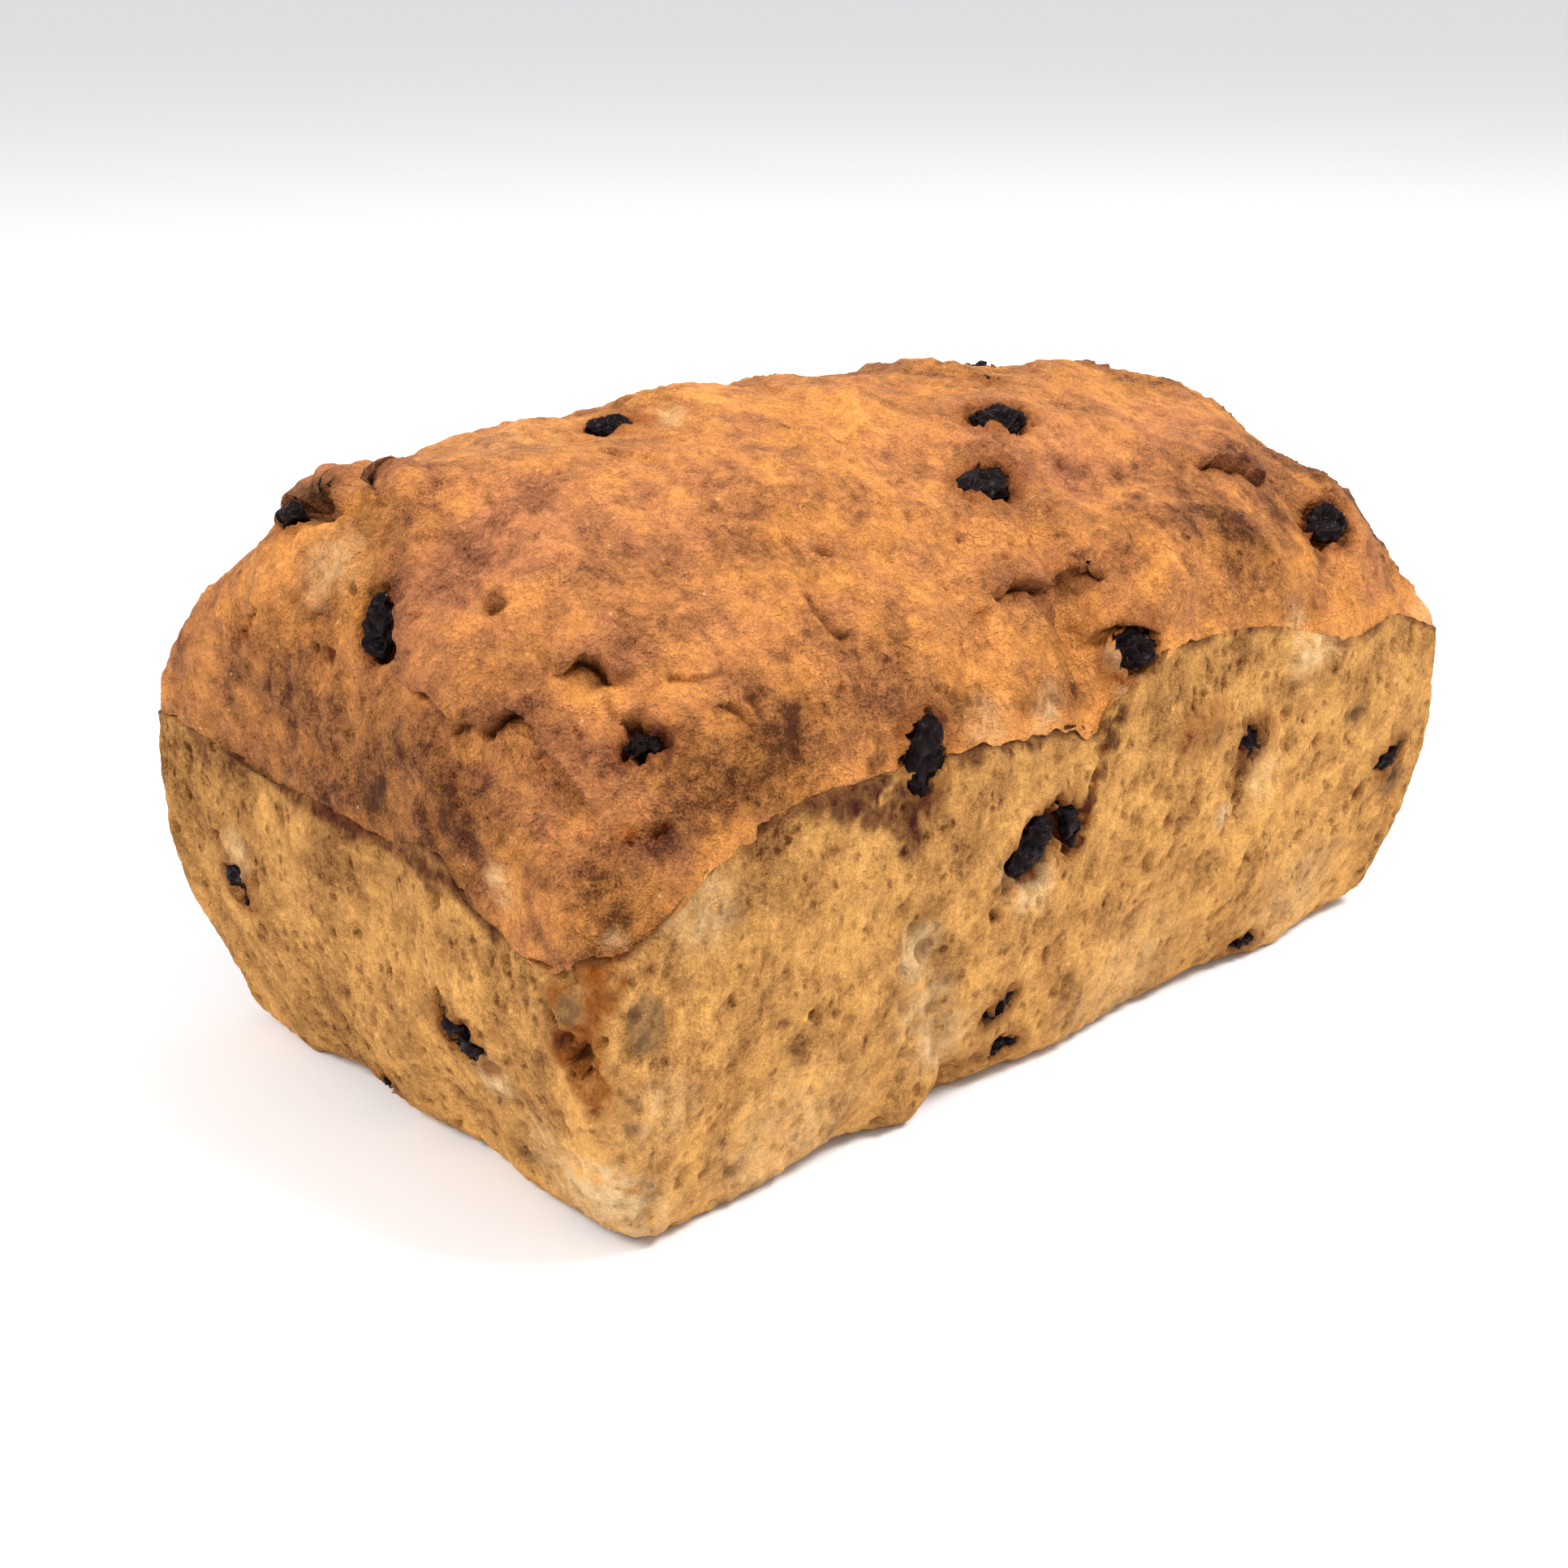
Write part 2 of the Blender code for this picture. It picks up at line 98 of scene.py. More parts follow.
def lip_height(x, y):
    """Height of the crust's edge, blended inward from the two sides that show a stepped lip."""
    side, end = through(SIDE_LIP, x), through(END_LIP, y)
    near_side = ease(LIP_REACH, 0.0, y + RIM_WIDTH / 2)
    near_end = ease(LIP_REACH, 0.0, x + RIM_LENGTH / 2)
    height = RIM_HEIGHT + (side - RIM_HEIGHT) * near_side * (1 - near_end)
    height += (end - RIM_HEIGHT) * near_end * (1 - near_side)
    return height + (np.minimum(side, end) - RIM_HEIGHT) * near_side * near_end


def round_corners(x, y, half_length, half_width, radius):
    """Bends the square corners of a rectangle into arcs."""
    over_x = np.clip((np.abs(x) - half_length + radius) / radius, 0.0, 1.0)
    over_y = np.clip((np.abs(y) - half_width + radius) / radius, 0.0, 1.0)
    arc_x = half_length - radius + radius * over_x * np.sqrt(1 - over_y ** 2 / 2)
    arc_y = half_width - radius + radius * over_y * np.sqrt(1 - over_x ** 2 / 2)
    in_corner = (over_x > 0) & (over_y > 0)
    return np.where(in_corner, np.sign(x) * arc_x, x), np.where(in_corner, np.sign(y) * arc_y, y)


def wall_form(fraction_x, fraction_y, up):
    """Point of the wall, with up from 0 at the base to 1 at the lip."""
    top = lip_height(fraction_x * RIM_LENGTH / 2, fraction_y * RIM_WIDTH / 2)
    turn = np.clip(up / FOOT_SHARE, 0, 1) * math.pi / 2
    above = np.clip((up - FOOT_SHARE) / (1 - FOOT_SHARE), 0, 1)
    z = FOOT_RADIUS * (1 - np.cos(turn)) + (top - FOOT_RADIUS) * above
    share = z / top
    swell = WALL_BULGE * np.sin(math.pi * share) - FOOT_RADIUS * (1 - np.sin(turn))
    half_length = (BASE_LENGTH + (RIM_LENGTH - BASE_LENGTH) * share) / 2 + swell
    half_width = (BASE_WIDTH + (RIM_WIDTH - BASE_WIDTH) * share) / 2 + swell
    x, y = fraction_x * half_length, fraction_y * half_width
    x, y = round_corners(x, y, half_length, half_width, CORNER_RADIUS)
    return np.stack([x, y, z], axis=-1)


def read_points(piece):
    points = np.empty(len(piece.data.vertices) * 3)
    piece.data.vertices.foreach_get("co", points)
    return points.reshape(-1, 3)


def write_points(piece, points):
    """Moves the vertices, and returns the new outward directions."""
    piece.data.vertices.foreach_set("co", points.ravel())
    piece.data.update()
    outward = np.empty(len(piece.data.vertices) * 3)
    piece.data.vertex_normals.foreach_get("vector", outward)
    return outward.reshape(-1, 3)


def smooth_faces(piece):
    piece.data.polygons.foreach_set("use_smooth", np.ones(len(piece.data.polygons), dtype=bool))
    piece.data.update()


def write_share(piece, name, values):
    """Keeps a value from 0 to 1 at every vertex for the material."""
    attribute = piece.data.attributes.new(name, "FLOAT", "POINT")
    attribute.data.foreach_set("value", np.clip(values, 0.0, 1.0).astype(np.float32))


def ripple(points, size, seed=0):
    """Smooth noise from -1 to 1 with waves about size mm wide, or three sizes for X, Y and Z."""
    return np.array([noise.noise(place) for place in (points / (np.array(size) * MM) + seed).tolist()])


def bubbles(points, size, seed=0.0):
    """For cells about size mm wide: distance from the cell's middle and edge, and the cell's own share."""
    found = [noise.voronoi(place) for place in (points / (np.array(size) * MM) + seed).tolist()]
    distances = np.array([near[:2] for near, _ in found])
    middles = np.array([tuple(places[0]) for _, places in found])
    share = (np.sin(middles @ (12.99, 78.23, 37.72)) * 4375.85) % 1.0
    return distances[:, 0], distances[:, 1] - distances[:, 0], share


def spots(points, places):
    """Sum of soft round spots: x, y, z and radius in mm, and amount at the middle."""
    total = np.zeros(len(points))
    for *place, radius, amount in places:
        away = np.linalg.norm(points - np.array(place) * MM, axis=1)
        total += amount * fade(radius, 0, away)
    return total


def beside(points, outward, route):
    """Distance left of a route on the surface, seen from outside, the share along it and the way left."""
    route = np.array(route) * MM
    nearest = np.full(len(points), np.inf)
    signed, share_along, leftward = np.zeros(len(points)), np.zeros(len(points)), np.zeros((len(points), 3))
    for number, (start, end) in enumerate(zip(route[:-1], route[1:])):
        run = end - start
        share = np.clip((points - start) @ run / (run @ run), 0.0, 1.0)
        offset = points - start - share[:, None] * run
        away = np.linalg.norm(offset, axis=1)
        left = np.cross(outward, run)
        left /= np.linalg.norm(left, axis=1)[:, None] + 1e-9
        closer = away < nearest
        nearest = np.where(closer, away, nearest)
        signed = np.where(closer, away * np.sign((offset * left).sum(axis=1)), signed)
        share_along = np.where(closer, (number + share) / (len(route) - 1), share_along)
        leftward = np.where(closer[:, None], left, leftward)
    return signed, share_along, leftward


def groove(points, outward, route, width, depth, ragged=0.0):
    """Soft groove along a route: width and depth in mm."""
    signed, _, _ = beside(points, outward, route)
    if ragged:
        signed = signed + ragged * MM * ripple(points, 1.8)
    return -depth * MM * fade(width / 2, 0, np.abs(signed))


def pits(points, places):
    """Small steep-sided holes: x, y, z, radius and depth in mm."""
    total = np.zeros(len(points))
    for *place, radius, depth in places:
        away = np.linalg.norm(points - np.array(place) * MM, axis=1)
        total = np.maximum(total, depth * MM * fade(radius * 1.15, radius * 0.6, away))
    return -total


# Swellings of the whole loaf, as x, y, z, radius and height in mm, and its slow waves, as radians a metre
# along X, Y and Z, and start
SWELLINGS = (
    (-80, 24, 93, 12.5, 2.4), (-76, 40, 89, 9, 2.2), (-80, 2, 93.5, 6.5, 1.4), (-76, -30, 84, 8, 1.4),
    (-60, -51, 70, 11, 1), (14, -52, 74, 13, 1.5), (-12, -52, 64, 13, 1.2), (-96, -52, 40, 9.5, -2),
    (-25, -50, 2, 7.5, -2.6), (-36, -50, 4, 9, 1.2), (13, 50, 3, 8, -2.2), (60, 30, 95, 16, -1.2),
)
WAVES = ((95, 160, 120, 0.4), (-210, 90, 150, 2.1), (140, -230, 60, 4.4))
WAVE_HEIGHT = 0.4 * MM

RAISINS = [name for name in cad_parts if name.startswith("raisin")]
RAISIN_REACH = 14.0 * MM
# How far the skin has closed over a raisin, in mm
USUAL_COVER = 0.45
COVER = {"under_skin": 1.5, "in_blister": 0.8, "flush": 0.1, "right_crest": -0.2, "small_crest": 0.2,
         "groove_upper": 0.3, "groove_lower": 0.2, "far_side": 0.3, "at_fold": -0.4, "burnt": -0.9,
         "at_lip": 0.55, "pair_left": -0.4, "pair_right": -0.4, "far_crust": 0.0}
POCKET_DEPTH = 3.4


def raisin_gaps(points):
    """Distance of every point from the nearest raisin, negative inside it, and the skin's cover there."""
    gaps = np.full(len(points), RAISIN_REACH)
    cover = np.zeros(len(points))
    depsgraph = bpy.context.evaluated_depsgraph_get()
    for name in RAISINS:
        low, high = (np.array(corner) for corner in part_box(name))
        skin = BVHTree.FromObject(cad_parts[name], depsgraph)
        near = np.linalg.norm(points - (low + high) / 2, axis=1) < RAISIN_REACH
        for index in np.flatnonzero(near):
            spot, facing, _, away = skin.find_nearest(points[index])
            signed = -away if (Vector(points[index]) - spot).dot(facing) < 0 else away
            if signed < gaps[index]:
                gaps[index] = signed
                cover[index] = COVER.get(name.removeprefix("raisin_"), USUAL_COVER) * MM
    return gaps, cover


def pockets(points, gaps, cover, dip):
    """The skin dips towards a raisin and opens over it in a ragged hole, and lies over the raisin elsewhere.
    Returns the rise and how far each point is in the hole."""
    torn = gaps + cover + 1.4 * MM * ripple(points, 2.8, 33) + 0.9 * MM * ripple(points, 1.2, 34)
    hole = fade(0.45, -0.35, torn)
    closed = fade(1.6, -0.2, gaps) * (1 - hole)
    rim = 0.3 * MM * np.exp(-((torn - 1.5 * MM) / (0.8 * MM)) ** 2)
    rise = rim - dip * MM * fade(2.6, 0.2, torn) * (1 - closed)
    rise += np.clip(0.25 * MM - gaps, 0.0, 2.0 * MM) * (1 - hole) - POCKET_DEPTH * MM * hole
    return rise, hole


# A sheet is rolled round into the wall, its seam merged and both its rims filled
bpy.ops.mesh.primitive_grid_add(x_subdivisions=SIDE_COLUMNS, y_subdivisions=SIDE_ROWS, size=2.0)
sides = bpy.context.object
sides.name = "tin_baked_sides"
flat = read_points(sides)
rolled = np.stack([np.cos(flat[:, 0] * math.pi), np.sin(flat[:, 0] * math.pi), flat[:, 1] / 2], axis=-1)
write_points(sides, rolled)
bpy.ops.object.mode_set(mode="EDIT")
bpy.ops.mesh.select_all(action="SELECT")
bpy.ops.mesh.remove_doubles(threshold=1e-5)
for rim_height in (-0.5, 0.5):
    bpy.ops.mesh.select_all(action="DESELECT")
    bpy.ops.object.mode_set(mode="OBJECT")
    for vertex in sides.data.vertices:
        vertex.select = abs(vertex.co.z - rim_height) < 1e-4
    bpy.ops.object.mode_set(mode="EDIT")
    bpy.ops.mesh.select_mode(type="VERT")
    bpy.ops.mesh.edge_face_add()
bpy.ops.mesh.select_all(action="SELECT")
bpy.ops.mesh.normals_make_consistent(inside=False)
bpy.ops.object.mode_set(mode="OBJECT")

unit = read_points(sides)
turn_share = np.arctan2(unit[:, 1], unit[:, 0]) / math.tau % 1.0
corner_runs = np.cumsum([0, RIM_WIDTH / 2, RIM_LENGTH, RIM_WIDTH, RIM_LENGTH, RIM_WIDTH / 2])
NEAR_TURNS = (0.0, 0.31, 0.93, 1.0)  # the near end and the near side, with 62 % of the columns
round_rim = np.interp(turn_share, NEAR_TURNS, corner_runs[[0, 2, 4, 5]])
rim_x = np.interp(round_rim, corner_runs, [1, 1, -1, -1, 1, 1])
rim_y = np.interp(round_rim, corner_runs, [0, 1, 1, -1, -1, 0])
row = np.round((unit[:, 2] + 0.5) * SIDE_ROWS)
up = np.clip(row / (SIDE_ROWS - len(TUCK)), 0.0, 1.0)
tucked = np.clip(row - SIDE_ROWS + len(TUCK), 0, len(TUCK))
wall = wall_form(rim_x, rim_y, up)
outward = write_points(sides, wall)
on_base = row == 0
outward[on_base, 2] = 0.0

# Creases as (route), width and depth in mm, then swellings and pores as x, y, z, radius and height or depth
WALL_GROOVES = (
    (((7.1, -57.1, 63.2), (3.9, -56.3, 57.3), (0.6, -56.2, 52.6), (-2.5, -56.2, 45.3)), 2.8, 1.6),
    (((-42.7, -56.5, 38.6), (-34.7, -55.8, 29.3), (-31, -52.6, 12.8), (-23, -50, 2)), 7, 1.2),
    (((-95.5, -48.5, 46), (-95.8, -51.5, 38), (-94.3, -53.2, 29.8)), 7.5, 1.6),
    (((-96, -26, 52), (-96.2, -44, 43), (-95.5, -50, 44)), 3, 0.6),
    (((-40, 56.2, 56), (-34, 56, 34), (-30, 52, 10)), 8, 1.2),
    (((96, 20, 50), (96.5, 12, 36), (94, 6, 20)), 6, 0.8),
)
WALL_SWELLINGS = (
    (-95.6, -50.2, 40, 4.6, 3.4), (-94.5, -55, 44.3, 3.4, 1), (-88.2, -56.6, 37.4, 4.6, 0.8),
    (-38.5, -56.5, 32, 6, -0.7), (52.5, -56.5, 55.5, 6, 0.9), (58, -56.5, 52, 5, 0.6),
    (-92.9, -8.3, 17.5, 6, 0.7), (-91.7, -50.8, 12.9, 6, -0.5), (44, -56, 36, 7, -1),
    (30, -56.5, 55, 9, -0.6),
)
WALL_PITS = (
    (-95.6, -51.2, 33.7, 1.7, 3.4), (-95.2, -52.8, 31.4, 1, 1.8), (-96, -49.2, 35.4, 1.1, 1.8),
    (-95.6, -50, 30.8, 0.9, 1.5), (-96.2, -46.6, 37.4, 1.6, 1.7), (-94, -54.4, 36.6, 0.9, 1.2),
    (-95.7, -22, 46.3, 1.3, 1.6), (71.3, -56.4, 26.7, 1.3, 2.6), (35.6, -56.6, 39.5, 1.5, 2.8),
    (35.2, -56.2, 36.2, 1.4, 3), (34.9, -55.8, 33.4, 1.2, 2.2), (-95.3, 38.2, 36.5, 2, 1.6),
    (-94.2, -30.5, 23.6, 1.6, 1.2), (-15, -56.2, 36.5, 2.6, 1.8), (-21, -56.4, 36, 1.9, 1.3),
    (-90.6, -56.6, 39.6, 1.1, 0.9), (82.1, -55.6, 26.9, 1.4, 1.4), (-87, -55, 44.6, 1.4, 1),
    (67.5, -56.7, 42.3, 1.2, 0.9), (-25.5, -50, 1.8, 3.4, 2.2),
)


def overhung_share(points):
    """1 along the middle of the near side, where the crust hangs over the wall, and 0 past its ends."""
    return fade(-38, -32, points[:, 0]) * fade(12, 7, points[:, 0])


def slow_form(points):
    """Rise of the whole loaf's unevenness over its plain form."""
    rise = spots(points, SWELLINGS) * MM
    for *turns, start in WAVES:
        rise -= WAVE_HEIGHT * np.sin(points @ np.array(turns) + start)
    return rise + 0.35 * MM * ripple(points, 14, 3.1)


rise = slow_form(wall) + spots(wall, WALL_SWELLINGS) * MM
for route, width, depth in WALL_GROOVES:
    rise += groove(wall, outward, route, width, depth, ragged=0.9)
wall = wall + outward * rise[:, None]
outward = write_points(sides, wall)
outward[on_base, 2] = 0.0

lip = lip_height(rim_x * RIM_LENGTH / 2, rim_y * RIM_WIDTH / 2)
below_lip = lip - wall[:, 2]
on_side = np.clip(-outward[:, 1], 0.0, 1.0)
sandy = np.clip(fade(22, 10, below_lip) * (0.6 + ripple(wall, 25, 1.7)), 0.0, 1.0)
warp = np.stack([ripple(wall, 3, seed) for seed in (5.0, 6.0, 7.0)], axis=-1) * 0.7 * MM
middle, edge_gap, own = bubbles(wall + 1.3 * warp, (2.2, 2.2, 3.1))
wide_middle, _, wide_own = bubbles(wall + 1.6 * warp, (4.8, 4.8, 6.6), 9.0)
pore = ease(0.52, 0.16, middle) * ease(0.3, 0.8, own) * (1 - 0.6 * sandy)
wide_pore = ease(0.3, 0.17, wide_middle) * ease(0.5, 0.65, wide_own) * (1 - 0.6 * sandy)
web = ease(0.16, 0.02, edge_gap) * (1 - 0.6 * sandy)
wrinkle = ripple(wall, (2.6, 2.6, 16), 11) * fade(20, 3, wall[:, 2])
gaps, cover = raisin_gaps(wall)
fine = -0.55 * pore - 0.75 * wide_pore + 0.1 * web + 0.4 * wrinkle + 0.2 * ripple(wall, 1.6, 2)
fine += 0.35 * ripple(wall, (3.4, 3.4, 7), 12)
pocket, opened = pockets(wall, gaps, cover, 0.5)
fine *= MM * fade(-0.2, 1.2, gaps)
near_edge = fade(3, 0.5, below_lip)
fine *= 1 - 0.5 * near_edge
drawn_in = MM * (0.1 + 0.8 * overhung_share(wall) * on_side) * fade(2.4, 0.4, below_lip)
wall_hollow = pits(wall + 0.4 * warp, WALL_PITS)
rise = fine + wall_hollow + pocket - drawn_in
rise[on_base] = -0.3 * MM
wall = wall + outward * rise[:, None]
wall[:, 2] = np.maximum(wall[:, 2], np.where(on_base, 0.0, 0.05 * MM))
wall[on_base, 2] = 0.0
for ring, (inset, height) in enumerate(TUCK, 1):
    level = tucked == ring
    plain = wall_form(rim_x[level], rim_y[level], np.ones(level.sum()))
    shrink = 1 - inset * MM / (RIM_WIDTH / 2)
    wall[level, :2] = plain[:, :2] * shrink
    wall[level, 2] = plain[:, 2] if height is None else height * MM
write_points(sides, wall)
smooth_faces(sides)

# What the skin's colour follows, for the material: x, y, z and radius in mm, and amount
WALL_BROWN = (
    (-96, 34, 50, 26, 0.16), (-96, -6, 46, 22, 0.1), (20, -56, 62, 22, 0.06), (-70, -56, 50, 20, 0.12),
    (-36, -56, 46, 20, 0.1), (-92, 20, 8, 26, 0.1), (-95, 52, 36, 20, 0.26), (88, -55, 48, 14, 0.02),
    (-58, -54, 26, 24, -0.05), (20, -54, 22, 30, -0.12), (60, -54, 20, 30, -0.14), (50, -56, 46, 24, -0.1),
    (-90, -54, 16, 20, -0.06), (-96, -30, 30, 26, 0.04),
)
WALL_PALE = (
    (-38.5, -56, 32, 6.5, 1), (-15.5, -56, 35.5, 6.5, 1.2), (-20, -56.5, 38.5, 4, 0.8),
    (52.5, -56.5, 57, 7.5, 0.7), (58.5, -56.5, 59, 6, 0.4), (-91.7, -50.8, 12.9, 7.5, 0.8),
    (-94.5, 31, 36.5, 6, 0.9), (-93.2, -29.5, 22, 6.5, 0.9), (-30.5, -52.6, 14, 9, 0.6),
    (-35.5, -54, 22, 9, 0.5), (-78, -55.5, 50, 8, 0.5), (-90, -50, 6, 14, 0.7), (-60, -50, 5, 22, 0.4),
    (42, -56, 38, 8, 0.5), (14, -50.5, 6, 24, 0.3), (60, -50.5, 8, 20, 0.35), (-93, -40, 10, 12, 0.5),
    (-86, -54.5, 24, 9, 0.35), (31, -56.5, 34, 3.4, 0.8), (-84, -56, 53, 4.5, 0.7),
)
WALL_STAIN = (
    (-59.5, -56.1, 60.5, 3, 0.8), (-54, -56.7, 59, 4.5, 1.1), (-47.5, -56, 57.5, 6, 1.2),
    (-42.5, -56, 54.5, 5, 1.2), (-41, -56.4, 49.5, 3.6, 1), (-37.5, -56.8, 54, 4, 0.7),
    (-29, -56.7, 59.8, 4, 0.9), (-22, -57, 60, 3.6, 0.9), (-15, -56.8, 59, 3.6, 0.9),
    (-8, -56.4, 58.6, 3.6, 0.9), (-2.5, -56, 57.5, 3.2, 1), (1.8, -56.3, 53.5, 2.4, 1.1),
    (-0.6, -56.4, 49, 2.2, 1.1), (-3, -56.8, 45, 2.6, 1.1), (3.9, -56.3, 57.3, 2.2, 0.9),
    (-5.5, -57, 40, 3, 1), (-96.5, -21, 48.5, 3, 0.8), (-96.5, -34, 46.5, 4, 0.5), (-96.5, -2, 51, 4, 0.4),
    (-96.5, 12, 52, 4, 0.35), (-96.5, -28, 52, 3.5, 0.7), (-96.5, -39, 50, 3, 0.6),
    (80.5, -56, 33, 4.5, 0.7), (38, -56.5, 44, 7, 0.35), (-96.2, -45, 39, 2, 0.5),
    (-95.8, -48, 35, 2.2, 0.4),
)
WALL_CARAMEL = (
    (-95.6, -49.5, 46.5, 4.5, 0.9), (-94.8, -53.4, 46, 4.2, 0.9), (-96, -46, 46.5, 3.6, 0.7),
    (-95.8, -47.5, 41, 3.6, 1), (-94.4, -53.8, 41, 4, 0.9), (-95.4, -51, 35.4, 5.6, 1.3),
    (-94.8, -52.4, 30, 4.6, 1), (-92.1, -54.6, 48.8, 3, 0.8), (-96, -48, 34, 3.6, 0.8),
    (-92.6, -55.2, 44, 3.6, 0.6), (33, -56, 38, 3, 0.6), (-2.6, -57, 42, 2.8, 0.9),
    (-10.6, -57, 44.6, 3.4, 1), (-94, -53, 26.5, 3, 0.5), (-91, -55.6, 50, 3, 0.5),
)
WALL_GREEN = (
    (-88.1, -56.6, 37.2, 5, 1.6), (-88.8, -56.2, 40.2, 3.2, 1.3), (82.5, -55.5, 26.4, 4.6, 1.3),
    (67.5, -56.7, 42.3, 4, 0.8), (27, -57, 48.6, 4.2, 0.7), (-95.4, -50.2, 40.2, 3.2, 1.4),
    (-18.5, -53, 13.5, 3, 0.5), (-93.5, 38, 20, 3, 0.4), (-80, -50.5, 9, 4, 0.4),
)
# Juice that ran along cracks: (route), width in mm, amounts of stain and caramel
WALL_LINES = (
    (((-35.4, -55.8, 61.8), (-28.1, -55.9, 61), (-19.5, -55.9, 59.8), (-10.7, -55.9, 58.7), (-5, -55.8, 57.8),
      (1, -55.7, 55.6)), 2.4, 1.2, 0.3),
    (((6.6, -56.9, 62), (6, -56.7, 60.7), (3.9, -56.3, 57.3), (1.4, -56.2, 54.7), (-0.2, -56.2, 50.6),
      (-2.5, -56.2, 45.3), (-3.6, -56.4, 39)), 1.1, 0.9, 1.2),
    (((-96, 30, 53.6), (-96.3, 10, 52), (-96.3, -12, 51), (-96.3, -27.4, 49.6), (-96, -34.1, 46)),
     2.6, 1, 0.4),
    (((-95.8, -50, 47.5), (-92.1, -53.9, 51), (-87.1, -54.6, 54.2), (-80.6, -55.4, 57), (-73, -56, 59)),
     1.6, 0.5, 1.2),
    (((-96.2, -38, 46), (-96.2, -43, 45), (-96, -47.5, 46.4)), 1.6, 0.6, 1.2),
    (((-61, -56.2, 60.4), (-52, -56.2, 60), (-45.5, -56, 59)), 2.6, 1.3, 0),
)
stain_lines, caramel_lines = np.zeros(len(wall)), np.zeros(len(wall))
for route, width, stain, caramel in WALL_LINES:
    on_line = fade(width, 0.2, np.abs(beside(wall, outward, route)[0]))
    stain_lines = np.maximum(stain_lines, stain * on_line)
    caramel_lines = np.maximum(caramel_lines, caramel * on_line)
near_raisin = fade(3, 0.2, gaps)
mottle = ripple(wall, 9, 21) + 0.5 * ripple(wall, 4, 22)
browning = 0.42 + spots(wall, WALL_BROWN) + 0.2 * mottle + 0.1 * pore + 0.14 * wide_pore - 0.1 * web
browning += 0.08 * fade(14, 0, below_lip) - 0.16 * fade(12, 0, wall[:, 2])
ragged = 1 + 1.1 * ripple(wall, 2.4, 23) + 0.9 * ripple(wall, 1.3, 27)
# A dark line in patches along the wall just under the crust's edge: painted shade under the overhanging lip,
# together with the purple-brown line there.
lip_shade_and_stain = 0.9 * fade(1.7, 0.2, below_lip) * ease(-0.25, 0.25, ripple(wall, 9, 24))
write_share(sides, "browning", browning)
write_share(sides, "ruddy", 0.12 + 0.16 * ripple(wall, 30, 25) + 0.2 * pore)
write_share(sides, "pale", spots(wall, WALL_PALE) * ragged)
write_share(sides, "stain", (2.6 * spots(wall, WALL_STAIN) + stain_lines) * ragged + lip_shade_and_stain
            + 0.2 * near_raisin)
write_share(sides, "caramel", 1.6 * spots(wall, WALL_CARAMEL) * (0.4 + 0.6 * ragged) + caramel_lines
            + 0.5 * near_raisin)
write_share(sides, "green", 1.5 * spots(wall, WALL_GREEN) * (0.4 + 0.6 * ragged))
# The hollow share is painted shade: it darkens pits, wide pores and the holes over raisins.
write_share(sides, "hollow", -wall_hollow / (1.8 * MM) + 0.3 * wide_pore + 1.4 * opened)


def colour(code):
    """An sRGB hex value as linear colour."""
    values = [int(code[start:start + 2], 16) / 255 for start in (1, 3, 5)]
    linear = [value / 12.92 if value <= 0.04045 else ((value + 0.055) / 1.055) ** 2.4 for value in values]
    return (*linear, 1.0)


def add_node(material, kind, settings=None, inputs=None, stops=()):
    """Adds a shader node with its settings, its values or links, and its colour stops."""
    node = material.node_tree.nodes.new("ShaderNode" + kind)
    for name, value in (settings or {}).items():
        setattr(node, name, value)
    for name, value in (inputs or {}).items():
        if isinstance(value, bpy.types.NodeSocket):
            material.node_tree.links.new(value, node.inputs[name])
        else:
            node.inputs[name].default_value = value
    for place, _ in stops[2:]:
        node.color_ramp.elements.new(place)
    for element, (place, code) in zip(node.color_ramp.elements if stops else (), stops):
        element.position = place
        element.color = colour(code)
    return node


